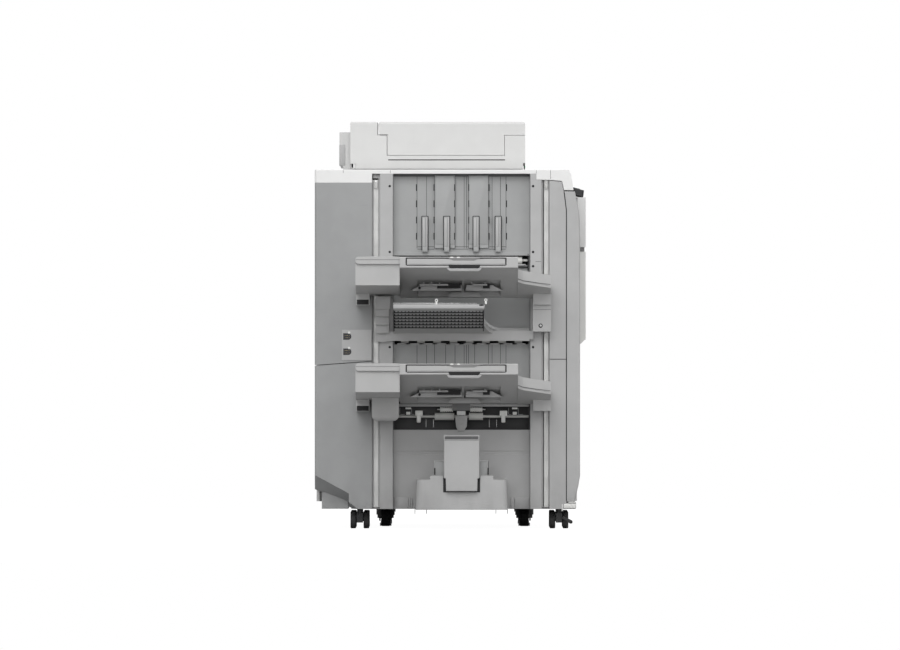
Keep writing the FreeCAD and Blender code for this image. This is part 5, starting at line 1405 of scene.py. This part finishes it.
@dataclass
class FinisherCovers:
    """Trim on the finisher's covers: screws, sockets, painted seam shadow, seams, door grip and rail caps.
    """

    screw_radius: float = 3.6
    shank_radius: float = 3.4
    socket_feet: tuple[float, float] = (15.0, 59.0)
    fixing_feet: tuple[float, float] = (35.5, 80.0)
    pin_grid: tuple[int, int] = (2, 4)
    grip_z: Span = (560.0, 700.0)
    louvre_levels: range = range(880, 791, -11)
    screw_heights: tuple[float, ...] = (992.0, 801.5, 526.0)
    extra_screw: float = 760.5
    rear_screws: tuple[float, ...] = (520.0, 760.0, 970.0, 440.0, 200.0)
    # Width of the painted shadow in the door's seam.
    seam_shadow: float = 2.6

    def build(self) -> None:
        """Makes the covers' trim."""
        self.cover_screws()
        self.sockets()
        self.door_seam_shadow()
        self.seams()
        self.rails()
        self.door_grip()
        self.rear_trim()
        self.foot_trim()

    def screw(self, heads: Shaper, x: float, z: float, front: float) -> None:
        """Adds one domed cross-head screw that faces -Y."""
        r = self.screw_radius
        profile = [
            (front, 0.0), (front - 0.7, 0.0), (front - 1.3, 1.0), (front - 1.1, r * 0.7), (front - 0.5, r),
            (front, r),
        ]
        heads.turned(Axis.Y, (x, z), profile, 20)

    def cover_screws(self) -> None:
        """The black screws down both columns, with the cross in each head."""
        box = Box.of("cover_screws")
        rear_x, front_x = box.low.x + self.shank_radius, box.high.x - self.shank_radius
        heads, crosses = Shaper(), Shaper()
        places = [*product((rear_x, front_x), self.screw_heights), (front_x, self.extra_screw)]
        for x, z in places:
            self.screw(heads, x, z, PLACES.face)
            for wide, tall in ((1.9, 0.45), (0.45, 1.9)):
                crosses.block(
                    (x - wide, x + wide), (PLACES.face - 1.42, PLACES.face - 1.0), (z - tall, z + tall)
                )
        heads.piece("column_screws", "machine", Slot.SCREW, SCREW_BLACK, stands_for=("cover_screws",))
        crosses.piece("column_screw_crosses", "machine", Slot.SCREW, SEAM_DARK)

    def sockets(self) -> None:
        """Two dark D-shaped sockets behind the connector plate, their pins and the plate's screws."""
        plate = Box.of("connector_plate")
        left, low, front = plate.low.x, plate.low.z, PLACES.face
        shells, pins, fixings = Shaper(), Shaper(), Shaper()
        for foot in self.socket_feet:
            start, stop = left + 3.5, left + 18
            outline = [(start, low + foot - 0.5), (stop, low + foot - 0.5)]
            outline += arc((stop, low + foot + 9.5), 10, -80, 80, 8)
            outline += [(stop, low + foot + 19.5), (start, low + foot + 19.5)]
            shells.prism(Axis.Y, outline, (front - 0.9, front - 0.1))
            for row, column in product(*map(range, self.pin_grid)):
                place = (left + 9 + column * 4, low + foot + 6 + row * 7)
                pins.rod(Axis.Y, place, 0.7, (front - 1.15, front - 0.8), 8)
        for foot in self.fixing_feet:
            fixings.dome((left + 21, front - 1.2, low + foot), 3.6, (1, 0.3, 1))
        shells.piece("connector_sockets", "machine", Slot.BLACK, BLACK_SKIN)
        pins.piece("connector_pins", "machine", Slot.RAIL, COPPER_PIN)
        fixings.piece("connector_plate_screws", "machine", Slot.RAIL, CLIP_WHITE)

    def door_seam_shadow(self) -> None:
        """Painted shadow in the seam between the front cover and the finisher's door, and over the door's
        top.
        """
        door = Box.of("finisher_door")
        seam = Box.of("finisher_front_upper_cover").high.x + 0.5
        half = self.seam_shadow / 2
        foot, shoulder, head = door.low.z + 2, door.high.z - 55, door.high.z - 3
        outline = [
            (seam - half, foot), (seam + half, foot), (seam + half, shoulder),
            (seam - 4 + half, shoulder + 32), (seam - 6.4 + half, head), (seam - 6.4 - half, head),
            (seam - 4 - half, shoulder + 32), (seam - half, shoulder),
        ]
        # Dark strips in the door's seams: painted shadow.
        seam_shadow = Shaper().prism(Axis.Y, outline, (PLACES.face - 0.5, PLACES.face + 6))
        x = (door.low.x + 6, door.high.x - 16)
        seam_shadow.block(x, (PLACES.face - 0.4, PLACES.face + 6), (door.high.z + 0.1, door.high.z + 2.4))
        seam_shadow.piece("door_seam_shadow", "machine", Slot.BLACK, SEAM_DARK)

    def seams(self) -> None:
        """Fine joints between covers, columns and the top cover, painted shadow under the top cover and a
        dark gap at the wall's side.
        """
        face = PLACES.face
        lines = Shaper()
        columns = Box.of("rail_columns")
        top = Box.of("finisher_top_cover")
        for x in (PLACES.bay[0] - 0.2, PLACES.bay[1] + 0.2):
            lines.block(
                (x - 0.8, x + 0.8), (face - PROUD, face + PROUD), (columns.low.z, columns.high.z - 2)
            )
        for x, low in ((246.8, 11.0), (288.0, 28.0), (-312.0, 10.0), (-176.0, 10.0)):
            lines.block((x - 0.5, x + 0.5), (face - PROUD, face + 0.2), (top.high.z - low, top.high.z - 2))
        lines.block((PLACES.bay[1] + 16, PLACES.bay[1] + 32), (face - PROUD, face + PROUD), (773, 774.2))
        side = Box.of("finisher_front_lower_cover")
        lines.block(
            (side.low.x + 1, 334), (face - PROUD, face + PROUD), (side.high.z - 0.2, side.high.z + 1.6)
        )
        lines.piece("cover_seams", "machine", Slot.COVER, SOFT_LINE)
        # A dark strip along the wall's top: painted shadow under the top cover.
        shade = Shaper().block(
            (PLACES.bay[0] + 2, PLACES.bay[1] - 2), (PLACES.wall - 4, PLACES.wall - 0.5), (1020, 1026.5)
        )
        shade.piece("wall_top_shadow", "machine", Slot.BAY, SOFT_LINE)
        gap = Shaper().block(
            (PLACES.bay[1] - 7, PLACES.bay[1] - 3.5), (PLACES.wall - 6, PLACES.wall - 0.5), (748, 796)
        )
        gap.block(
            (PLACES.bay[1] - 42, PLACES.bay[1] - 6), (PLACES.wall - 5, PLACES.wall - 0.5), (755, 760), 1.0
        )
        gap.piece("wall_side_gap", "machine", Slot.BAY, SEAM_DARK)

    def rails(self) -> None:
        """Pale fillers beside the lift rails, and a clamp at each rail's top."""
        rails = Box.of("lift_rails")
        channels, clamps = Shaper(), Shaper()
        for x in (
            (rails.low.x - 4.5, rails.low.x), (rails.high.x - 15.5, rails.high.x - 13.4),
            (rails.high.x + 0.3, rails.high.x + 2.6),
        ):
            channels.block(x, (PLACES.face + 10, PLACES.face + 20), (rails.low.z, rails.high.z))
        filler_y = (PLACES.face + 10, PLACES.face + 15)
        top = rails.high.z
        channels.block((rails.low.x + 13.4, rails.low.x + 18.2), filler_y, (rails.low.z, top + 17))
        channels.block((rails.high.x - 20, rails.high.x - 13.2), filler_y, (rails.low.z, top + 4))
        channels.block((rails.low.x - 2, rails.low.x + 13.4), filler_y, (top + 4.5, top + 17), 0.5)
        channels.piece("rail_channels", "machine", Slot.BAY, COVER_GREY_LIT)
        for low in (rails.low.x + 2, rails.high.x - 11):
            clamps.block((low, low + 9), (PLACES.face + 5, PLACES.face + 9.6), (top - 26, top), 0.8)
            clamps.dome((low + 4.5, PLACES.face + 5, top - 8), 2.6, (1, 0.4, 1))
        front_x = (rails.high.x - 17, rails.high.x + 2.6)
        clamps.block(front_x, (PLACES.face + 3, PLACES.face + 9), (top + 0.2, top + 4), 0.5)
        clamps.piece("rail_clamps", "machine", Slot.RAIL, RAIL_STEEL)

    def door_grip(self) -> None:
        """The finger scoop, latch edge and fine joint on the front of the finisher's door."""
        door = Box.of("finisher_door")
        x = door.high.x
        rear = door.high.y - 22
        frame_ring, well = Shaper(), Shaper()
        low, high = self.grip_z
        outer = rounded_panel((rear - 46, rear), self.grip_z, 12)
        inner = rounded_panel((rear - 41, rear - 5), (low + 6, high - 6), 9)
        frame_ring.prism(Axis.X, outer, (x - 0.5, x + 3.2), rounded=1.2)
        well.prism(Axis.X, inner, (x + 3.0, x + 3.5))
        frame_ring.piece("door_grip_frame", "side_panel", Slot.COVER, COVER_GREY_LIT)
        well.piece("door_grip_well", "side_panel", Slot.BLACK, BLACK_SKIN)
        joint = Shaper()
        for z in (door.low.z + 105, door.high.z - 160):
            joint.block((x - 0.4, x + 0.3), (door.low.y + 6, door.high.y - 6), (z, z + 1.0))
        joint.piece("door_joints", "side_panel", Slot.COVER, SOFT_LINE)

    def rear_trim(self) -> None:
        """Screws, louvres and a blank plate on the finisher's rear side."""
        x = Box.of("finisher_rear_upper_cover").low.x
        y0, y1 = PLACES.face + 30, Box.of("finisher_rear_upper_cover").high.y - 30
        heads, slots = Shaper(), Shaper()
        heads.studs(Axis.X, product((y0, y1), self.rear_screws), 3.4, (x - 0.25, x + 0.6))
        slots.louvres(Axis.X, (y0 + 60, y1 - 60), self.louvre_levels, 4.5, 2, (x - 0.25, x + 0.4))
        heads.piece("finisher_rear_screws", "machine", Slot.SCREW, SCREW_BLACK)
        slots.piece("finisher_rear_louvres", "machine", Slot.BLACK, SEAM_DARK)

    def foot_trim(self) -> None:
        """The pale toe bracket at the finisher's front foot and its small stud."""
        toe = Box.of("finisher_front_lower_cover")
        x = toe.high.x
        trim = Shaper()
        trim.block(
            (x - 36, x - 1), (PLACES.face - 2.5, PLACES.face + 1), (toe.low.z + 2, toe.low.z + 15), 1.6
        )
        trim.block(
            (x - 22, x - 2), (PLACES.face - 1.5, PLACES.face + 1), (toe.low.z + 18, toe.low.z + 21), 0.8
        )
        trim.rod(Axis.Z, (x - 40, PLACES.face + 2), 2.4, (toe.low.z - 5, toe.low.z + 14), 14, rounded=0.5)
        trim.piece("finisher_toe_trim", "machine", Slot.COVER, CLIP_WHITE)


@dataclass
class Casters:
    """Rounded wheels with hubs for every caster, hoods, a brake lever and the cups' collars."""

    twin_width: float = 16.5
    twin_spacing: float = 38.0
    main_width: float = 26.0
    cup_radius: float = 27.0

    def build(self) -> None:
        """Makes every caster's pieces."""
        self.pair("rear_swivel_wheels", "rear_swivel_pair")
        self.pair("front_swivel_wheels", "front_swivel_pair")
        self.fixed()
        self.main("near")
        self.main("far")
        self.hoods()
        self.brake()
        self.collars()

    def wheel(self, shape: Shaper, x: float, y: float, radius: float, width: float) -> None:
        """Adds one wheel: a rounded tread, side walls and a dished hub."""
        half, crown = width / 2, 3.0
        profile = [
            (-half + 1.5, 3.2), (-half + 1.5, radius * 0.32), (-half + 3.5, radius * 0.36),
            (-half + 3.5, radius * 0.62),
        ]
        profile += [(-half, radius * 0.68), (-half, radius - crown)]
        profile += [
            (
                -half + crown - crown * math.cos(a), radius - crown + crown * math.sin(a)
            ) for a in (0.6, 1.1, 1.57)
        ]
        mirrored = [(-along, r) for along, r in reversed(profile)]
        shape.turned(Axis.X, (y, radius), [(x + along, r) for along, r in profile + mirrored], 40)
        shape.rod(Axis.X, (y, radius), 3.1, (x - half + 0.5, x + half - 0.5), 16)

    def twin(self, shape: Shaper, x: float, y: float, radius: float) -> None:
        """Adds a pair of wheels and the axle between them."""
        for side in (-1, 1):
            self.wheel(shape, x + side * self.twin_spacing / 2, y, radius, self.twin_width)
        shape.rod(Axis.X, (y, radius), 3.0, (x - self.twin_spacing / 2, x + self.twin_spacing / 2), 16)

    def pair(self, node: str, body: str) -> None:
        """A swivel caster's pair of wheels."""
        box = Box.of(node)
        shape = Shaper()
        self.twin(shape, box.middle.x, box.middle.y, box.high.z / 2)
        shape.piece(node.replace("wheels", "tyres"), body, Slot.WHEEL, TYRE_RUBBER, stands_for=(node,))

    def fixed(self) -> None:
        """The finisher's two fixed casters, which share an axis."""
        box = Box.of("fixed_caster_wheels")
        reach = (self.twin_spacing + self.twin_width) / 2
        shape = Shaper()
        for x in (box.low.x + reach, box.high.x - reach):
            self.twin(shape, x, box.middle.y, box.high.z / 2)
        shape.piece(
            "fixed_caster_tyres", "fixed_pair", Slot.WHEEL, TYRE_RUBBER, stands_for=("fixed_caster_wheels",)
        )

    def main(self, row: str) -> None:
        """One row of the main unit's wheels."""
        node = f"main_wheels_{row}"
        box = Box.of(node)
        radius, width = box.high.z / 2, self.main_width
        shape = Shaper()
        for x in (box.low.x + width / 2, box.high.x - width / 2):
            self.wheel(shape, x, box.middle.y, radius, width)
        shape.piece(f"main_tyres_{row}", f"{row}_pair", Slot.WHEEL, TYRE_RUBBER, stands_for=(node,))

    def hoods(self) -> None:
        """Black hoods over the twin wheels, each between its two wheels."""
        for name, body in (("rear", "rear_swivel"), ("front", "front_swivel")):
            wheels = Box.of(f"{name}_swivel_wheels")
            x, y, radius = wheels.middle.x, wheels.middle.y, wheels.high.z / 2
            outline = arc((y, radius), radius - 1.5, 15, 165, 12) + arc((y, radius), 10.5, 165, 15, 6)
            hood = Shaper().prism(Axis.X, outline, (x - 10, x + 10), rounded=0.8)
            hood.piece(f"{name}_caster_hood", body, Slot.WHEEL, BLACK_SKIN)

    def brake(self) -> None:
        """The foot brake on the finisher's front caster."""
        wheels = Box.of("front_swivel_wheels")
        x, y, z = wheels.high.x, wheels.low.y, wheels.high.z / 2
        lever = Shaper()
        outline = [
            (x - 16, z + 12), (x - 4, z + 6), (x + 12, z - 2), (x + 12, z - 10), (x + 5, z - 11),
            (x - 6, z - 4), (x - 18, z + 2),
        ]
        lever.prism(Axis.Y, outline, (y - 7, y - 0.8), rounded=1.2)
        lever.block((x - 20, x - 12), (y - 5, y + 12), (z + 3, z + 9), 1.0)
        lever.piece("caster_brake_lever", "front_swivel", Slot.WHEEL, BLACK_SKIN)

    def collars(self) -> None:
        """Turned collars round the main casters' cups."""
        cups = Box.of("main_caster_cups")
        radius = self.cup_radius
        shape = Shaper()
        for x in (cups.low.x + radius, cups.high.x - radius):
            for y in (cups.low.y + radius, cups.high.y - radius):
                top = cups.high.z
                profile = [
                    (top - 12, radius + 0.2), (top - 12, radius + 1.6), (top - 8, radius + 3.2),
                    (top - 0.3, radius + 3.2), (top - 0.3, radius + 0.2),
                ]
                shape.turned(Axis.Z, (x, y), profile, 40)
        shape.piece("caster_cup_collars", "machine", Slot.BLACK, BLACK_SKIN)


# ------------------------------
# Main unit
# ------------------------------


@dataclass
class FeederDress:
    """The document feeder: parting lines, hinge caps, sheet guides, lamp and the white pad below."""

    rib_count: int = 7
    hinge_starts: tuple[float, float] = (33.5, 483.5)
    guide_x: tuple[float, float] = (-118.0, 92.0)
    dark_feet: tuple[Span, ...] = ((-178.0, -93.0), (144.0, 200.0))

    def build(self) -> None:
        """Makes the feeder's pieces."""
        self.body = Box.of("adf_body")
        self.lid = Box.of("adf_feeder_cover")
        self.seams()
        self.tray()
        self.pad()
        self.lamp()
        self.hinges()

    def seams(self) -> None:
        """Fine joints on the head's end and the dark gap between feeder and reader."""
        front = self.body.low.y
        lines = Shaper()
        low, high = self.body.low.z + 5, self.body.high.z
        lines.block((-215.2, -213.8), (front - 0.3, front + 4), (high - 37, high - 2))
        lines.block((-215.2, -184), (front - 0.3, front + 4), (high - 38.2, high - 37))
        lines.block((-184, 158), (front - 0.3, front + 4), (low + 35, low + 38))
        lines.piece("feeder_joints", "feeder", Slot.PALE, SEAM_DARK)
        feet = Shaper()
        for x in self.dark_feet:
            feet.block(x, (front + 4, front + 18), (low - 6, low + 0.5))
        feet.piece("feeder_dark_feet", "feeder", Slot.BLACK, SEAM_DARK)
        skin = Shaper()
        x = (self.lid.low.x + 26, self.lid.high.x - 26)
        for step in range(self.rib_count):
            y = self.lid.low.y + 60 + step * 18
            skin.block(x, (y, y + 5), (self.lid.high.z - 0.4, self.lid.high.z - 0.02), 0.15)
        skin.piece("feeder_lid_ribs", "feeder_lid", Slot.PALE, COVER_GREY_LIT)

    def tray(self) -> None:
        """Side guides, slide slot and size marks on the input tray."""
        y0, y1, z0, z1 = 287.0, 560.0, 1105.0, 1146.0
        slope = (z1 - z0) / (y1 - y0)
        guides, slots = Shaper(), Shaper()
        for x in self.guide_x:
            outline = [
                (y0 + 20, z0 + 3), (y0 + 150, z0 + 3 + slope * 130), (y0 + 150, z0 + 24 + slope * 130),
                (y0 + 20, z0 + 24),
            ]
            guides.prism(Axis.X, outline, (x - 2, x + 2), rounded=0.8)
            foot = [
                (y0 + 20, z0 + 2), (y0 + 150, z0 + 2 + slope * 130), (y0 + 150, z0 + 5 + slope * 130),
                (y0 + 20, z0 + 5),
            ]
            guides.prism(Axis.X, foot, (x - 13, x + 13))
        guides.piece("feeder_sheet_guides", "feeder", Slot.PALE, COVER_GREY_LIT)
        for y in (y0 + 60, y0 + 105):
            z = z0 + slope * (y - y0)
            slots.prism(Axis.X, [(y, z - 1), (y + 7, z - 1), (y + 7, z + 2.2), (y, z + 2.2)], (-100, 74))
        slots.piece("feeder_guide_slots", "feeder", Slot.BLACK, SEAM_DARK)

    def pad(self) -> None:
        """The white sheet that presses an original onto the glass."""
        low = self.body.low.z
        glass = Box.of("platen_glass")
        pad = Shaper().block(
            (glass.low.x - 6, glass.high.x + 6), (glass.low.y - 6, glass.high.y - 4),
            (low + 0.05, low + 5.5), 1.0,
        )
        pad.piece("feeder_white_pad", "feeder", Slot.PALE, FOAM_WHITE)

    def lamp(self) -> None:
        """A small green lamp on the head's front corner."""
        x = self.body.high.x
        y = self.body.low.y + 60
        lamp = Shaper().block(
            (x - 0.2, x + 1.2), (y, y + 22), (self.body.low.z + 20, self.body.low.z + 23.5), 0.8
        )
        lamp.piece("feeder_lamp", "feeder", Slot.KEY, LAMP_GREEN)

    def hinges(self) -> None:
        """Rounded covers over the rear hinge blocks."""
        caps = Shaper()
        for y in self.hinge_starts:
            caps.block(
                (self.body.low.x - 0.6, self.body.low.x + 18), (y - 0.8, y + 70.8),
                (self.body.low.z + 24, self.body.low.z + 88), 2.5,
            )
        caps.piece("feeder_hinge_covers", "feeder", Slot.PALE, COVER_GREY_LIT)
        posts, leaves = Shaper(), Shaper()
        x, z = self.body.low.x + 2, self.body.low.z + 3
        for y in self.hinge_starts:
            posts.block((x - 15, x + 3), (y - 4, y + 74), (Box.of("reader_case").high.z - 0.2, z + 3), 2.0)
            posts.rod(Axis.Y, (x, z), 7.0, (y - 6, y + 76), 24, rounded=1.0)
            leaves.block((x, x + 34), (y + 12, y + 58), (z + 1, z + 7), 0.8)
        posts.piece("feeder_hinge_posts", "machine", Slot.CHASSIS, DARK_STEEL)
        leaves.piece("feeder_hinge_leaves", "feeder", Slot.CHASSIS, DARK_STEEL)


@dataclass
class ControlPanel:
    """The tilting panel's face: screen, tiles, number keys, start key and lamps."""

    keys: tuple[int, int] = (4, 3)
    key_pitch: float = 17.0
    key_size: float = 12.0
    screen_x: Span = (254.0, 380.0)
    screen_reach: Span = (-138.0, 62.0)
    bezel_border: Span = (8.0, 10.0)
    tiles: tuple[int, int] = (3, 4)
    tile_size: Span = (24.0, 34.0)
    tile_pitch: Span = (32.0, 42.0)

    def build(self) -> None:
        """Makes the panel's pieces."""
        box = Box.of("control_panel")
        self.low_edge = (box.high.x, 986.5)
        self.slope = 36.0 / 150.0
        self.middle_y = box.middle.y
        self.screen()
        self.number_keys()
        self.start()

    def height(self, x: float) -> float:
        """The height of the panel's top at a place along X."""
        return self.low_edge[1] + (self.low_edge[0] - x) * self.slope

    def slab(self, shape: Shaper, x: Span, y: Span, proud: float, sunk: float = 0.4) -> None:
        """Adds a thin slab that lies on the sloping face."""
        near, far = self.height(x[1]), self.height(x[0])
        outline = [(x[0], far - sunk), (x[1], near - sunk), (x[1], near + proud), (x[0], far + proud)]
        shape.prism(Axis.Y, outline, y, rounded=min(0.4, proud * 0.4))

    def screen(self) -> None:
        """The dark bezel and its lit screen with tiles."""
        x = self.screen_x
        y = (self.middle_y + self.screen_reach[0], self.middle_y + self.screen_reach[1])
        border_x, border_y = self.bezel_border
        bezel, lit, tiles = Shaper(), Shaper(), Shaper()
        self.slab(bezel, x, y, 1.6)
        self.slab(lit, (x[0] + border_x, x[1] - border_x), (y[0] + border_y, y[1] - border_y), 1.9)
        rows, columns = self.tiles
        for row, column in product(range(rows), range(columns)):
            back = x[0] + border_x + 10 + row * self.tile_pitch[0]
            start = y[0] + 2 * border_y + column * self.tile_pitch[1]
            self.slab(tiles, (back, back + self.tile_size[0]), (start, start + self.tile_size[1]), 2.15)
        bezel.piece("panel_bezel", "panel", Slot.BLACK, SCREEN_BLACK)
        lit.piece("panel_screen", "panel", Slot.BLACK, SCREEN_LIT)
        tiles.piece("panel_tiles", "panel", Slot.KEY, TILE_LIT)

    def number_keys(self) -> None:
        """A block of plain keys and two small lamps beside the screen."""
        keys, lamps = Shaper(), Shaper()
        rows, columns = self.keys
        for row, column in product(range(rows), range(columns)):
            x = 306 + row * self.key_pitch
            y = self.middle_y + 76 + column * self.key_pitch
            self.slab(keys, (x, x + self.key_size), (y, y + self.key_size), 1.8)
        keys.piece("panel_keys", "panel", Slot.KEY, COVER_GREY_LIT)
        for y in (self.middle_y + 80, self.middle_y + 94):
            self.slab(lamps, (262, 266), (y, y + 7), 0.9)
        lamps.piece("panel_lamps", "panel", Slot.KEY, LAMP_GREEN)

    def start(self) -> None:
        """A chrome ring round the start key's well."""
        key = Box.of("start_button")
        radius = (key.high.y - key.low.y) / 2
        z = self.height(key.middle.x)
        ring = [
            (z - 2.4, radius + 1.2), (z - 2.4, radius + 3.6), (z + 2.2, radius + 3.6),
            (z + 2.8, radius + 2.4), (z + 2.2, radius + 1.2),
        ]
        Shaper().turned(Axis.Z, (key.middle.x, key.middle.y), ring, 40).piece(
            "start_key_ring", "panel", Slot.KEY, SHAFT_STEEL
        )


@dataclass
class DrawerDress:
    """Grip liners, level windows and blank labels on the paper drawers and the doors."""

    drawers: tuple[tuple[str, str], ...] = (
        ("lower_cassette", "lower_drawer"),
        ("upper_cassette", "upper_drawer"),
        ("left_deck", "left_drawer"),
        ("right_deck", "right_drawer"),
    )
    grip_half: float = 68.0
    rim_half: float = 72.0
    bypass_ribs: int = 8
    bypass_rib_pitch: float = 38.0

    def build(self) -> None:
        """Makes the drawers' and doors' pieces."""
        for node, body in self.drawers:
            self.drawer(node, body)
        self.front_doors()
        self.side_door()

    def drawer(self, node: str, body: str) -> None:
        """One drawer's grip liner, window, label and face line."""
        box = Box.of(node)
        x, middle, top = box.high.x, box.middle.y, box.high.z
        liner = Shaper()
        liner.block(
            (x - 13.6, x - 12.4), (middle - self.grip_half, middle + self.grip_half), (top - 33, top - 13)
        )
        liner.piece(f"{node}_grip_liner", body, Slot.BLACK, SEAM_DARK)
        rim = Shaper()
        rim.block(
            (x - 0.4, x + 0.9), (middle - self.rim_half, middle + self.rim_half), (top - 37, top - 34.4), 0.4
        )
        rim.block(
            (x - 0.4, x + 0.9), (middle - self.rim_half, middle + self.rim_half), (top - 11.6, top - 9), 0.4
        )
        rim.piece(f"{node}_grip_rim", body, Slot.PALE, COVER_GREY_LIT)
        label = Shaper().block(
            (x - 0.3, x + 0.4), (box.high.y - 60, box.high.y - 24), (top - 34, top - 14), 0.2
        )
        label.piece(f"{node}_label", body, Slot.PALE, PAPER_WHITE)
        window = Shaper().block(
            (x - 0.3, x + 0.7), (box.low.y + 26, box.low.y + 34), (top - 36, top - 14), 0.3
        )
        window.piece(f"{node}_level_window", body, Slot.BLACK, SCREEN_BLACK)

    def front_doors(self) -> None:
        """The front cover's edge line and grip, and the toner cover's finger scoop."""
        door, toner = Box.of("front_door"), Box.of("toner_door")
        lines, grips = Shaper(), Shaper()
        x = door.high.x
        for z in (door.low.z + 12, door.high.z - 12):
            lines.block((x - 0.6, x - FLUSH), (door.low.y + 20, door.high.y - 20), (z, z + 1))
        lines.piece("front_door_lines", "front_cover", Slot.PALE, SOFT_LINE)
        for y in (door.low.y + 34, door.high.y - 64):
            grips.block((x - 0.7, x - FLUSH), (y, y + 30), (door.high.z - 60, door.high.z - 52))
        grips.piece("front_door_grips", "front_cover", Slot.BLACK, SEAM_DARK)
        scoop = Shaper()
        scoop.block(
            (toner.high.x - 0.7, toner.high.x - FLUSH), (toner.middle.y - 45, toner.middle.y + 45),
            (toner.high.z - 26, toner.high.z - 14),
        )
        scoop.piece("toner_door_scoop", "toner_cover", Slot.BLACK, SEAM_DARK)

    def side_door(self) -> None:
        """The right door's grip and the bypass tray's grip and guide marks."""
        door, bypass = Box.of("right_door"), Box.of("bypass_tray")
        y = door.high.y
        grip = Shaper().block((-40, 140), (y - 0.7, y - FLUSH), (door.high.z - 48, door.high.z - 24))
        grip.piece("right_door_grip", "side_door", Slot.BLACK, SEAM_DARK)
        pull = Shaper().block(
            (0, 80), (bypass.high.y - 0.7, bypass.high.y - FLUSH), (bypass.high.z - 26, bypass.high.z - 10)
        )
        pull.piece("bypass_pull", "bypass", Slot.BLACK, SEAM_DARK)
        ribs = Shaper()
        for index in range(self.bypass_ribs):
            x = bypass.low.x + 34 + index * self.bypass_rib_pitch
            ribs.block(
                (x, x + 3), (bypass.high.y - 0.3, bypass.high.y - FLUSH),
                (bypass.low.z + 20, bypass.high.z - 40),
            )
        ribs.piece("bypass_ribs", "bypass", Slot.PALE, SOFT_LINE)


@dataclass
class CabinetTrim:
    """Screws, joints, vents, ports and plates on the main unit's case."""

    rear_screws: tuple[tuple[float, ...], ...] = ((10.0, 330.0, 650.0), (110.0, 420.0, 660.0, 900.0))
    port_widths: tuple[float, ...] = (16.0, 16.0, 13.0, 24.0)
    port_feet: tuple[float, ...] = (560.0, 530.0, 500.0, 470.0)
    vent_y: Span = (150.0, 320.0)
    side_vent_x: Span = (-330.0, -210.0)

    def build(self) -> None:
        """Makes the case's trim."""
        self.rear()
        self.right()
        self.reader()
        self.delivery_side()

    def rear(self) -> None:
        """The rear cover's screws, power inlet, service ports and blank rating plate."""
        x = Box.of("main_rear_cover").low.x
        heads, dark, plates = Shaper(), Shaper(), Shaper()
        heads.studs(Axis.X, product(*self.rear_screws), 3.4, (x - 0.8, x + 0.4))
        dark.block((x - 0.8, x + 0.4), (590, 622), (120, 146), 0.3)
        for wide, z in zip(self.port_widths, self.port_feet):
            dark.block((x - 0.8, x + 0.4), (600, 600 + wide), (z, z + 12), 0.2)
        dark.louvres(Axis.X, self.vent_y, range(300, 457, 12), 5, 2.4, (x - 0.5, x + 0.4))
        plates.block((x - 0.6, x + 0.3), (440, 520), (130, 180), 0.2)
        heads.piece("rear_cover_screws", "machine", Slot.SCREW, SCREW_BLACK)
        dark.piece("rear_ports_and_vents", "machine", Slot.BLACK, BLACK_SKIN)
        plates.piece("rear_blank_plate", "machine", Slot.PALE, PAPER_WHITE)

    def right(self) -> None:
        """The right cover's vent slots, screws and lower joint."""
        y = Box.of("main_right_cover").high.y
        dark, lines = Shaper(), Shaper()
        dark.louvres(Axis.Y, self.side_vent_x, range(850, 932, 9), 4, 2, (y - 0.5, y - FLUSH))
        lines.block((-370, 330), (y - 0.5, y - FLUSH), (300, 301.2))
        dark.piece("right_vents", "machine", Slot.BLACK, SEAM_DARK)
        lines.piece("right_joint", "machine", Slot.PALE, SOFT_LINE)

    def reader(self) -> None:
        """The reader's joint line, the white guide strip and the size mark beside the glass."""
        case, glass = Box.of("reader_case"), Box.of("platen_glass")
        line, strip, mark = Shaper(), Shaper(), Shaper()
        line.block(
            (case.low.x + 20, case.high.x - 20), (case.low.y - PROUD, case.low.y + PROUD),
            (case.high.z - 31, case.high.z - 29.8),
        )
        line.piece("reader_joint", "machine", Slot.PALE, SOFT_LINE)
        strip.block(
            (glass.low.x - 9, glass.low.x - 0.6), (glass.low.y, glass.high.y),
            (glass.high.z - 0.4, glass.high.z + 0.7), 0.3,
        )
        strip.piece("reader_guide_strip", "machine", Slot.PALE, CLIP_WHITE)
        mark.block(
            (glass.low.x - 7, glass.low.x - 3), (glass.low.y + 4, glass.low.y + 10),
            (glass.high.z + 0.6, glass.high.z + 0.9),
        )
        mark.piece("reader_corner_mark", "machine", Slot.BLACK, SEAM_DARK)

    def delivery_side(self) -> None:
        """Joints on the side of the main unit that faces the finisher."""
        case = Box.of("reader_case")
        y = case.low.y + 5
        rib = Shaper().block(
            (case.low.x + 30, case.high.x - 60), (y - 8.6, y - 5), (case.low.z + 3, case.low.z + 9), 1.2
        )
        rib.piece("reader_side_rib", "machine", Slot.PALE, COVER_GREY_LIT)


ASSEMBLIES = [
    StackerWall(),
    *(StackTray(level) for level in Level),
    MiddleTray(),
    BookletExit(),
    BookletTray(),
    FinisherCovers(),
    Casters(),
    FeederDress(),
    ControlPanel(),
    DrawerDress(),
    CabinetTrim(),
]




# ------------------------------
# The whole machine
# ------------------------------


def dress_frame() -> None:
    """Gives every CAD node its finish."""
    for part in frame["record"]["subparts"]:
        node = frame["nodes"][part["node"]]
        finish = NODE_FINISH.get(part["node"], SLOT_FINISH[Slot(part["material_slot"])])
        node.data.materials.clear()
        node.data.materials.append(finish.material())


def main() -> None:
    """Builds the studio, dresses the frame and builds each sub-assembly."""
    logging.basicConfig(level=logging.INFO, format="%(message)s")
    Studio().build()
    dress_frame()
    for assembly in ASSEMBLIES:
        LOG.info("building %s", type(assembly).__name__)
        assembly.build()


if __name__ == "__main__":
    main()
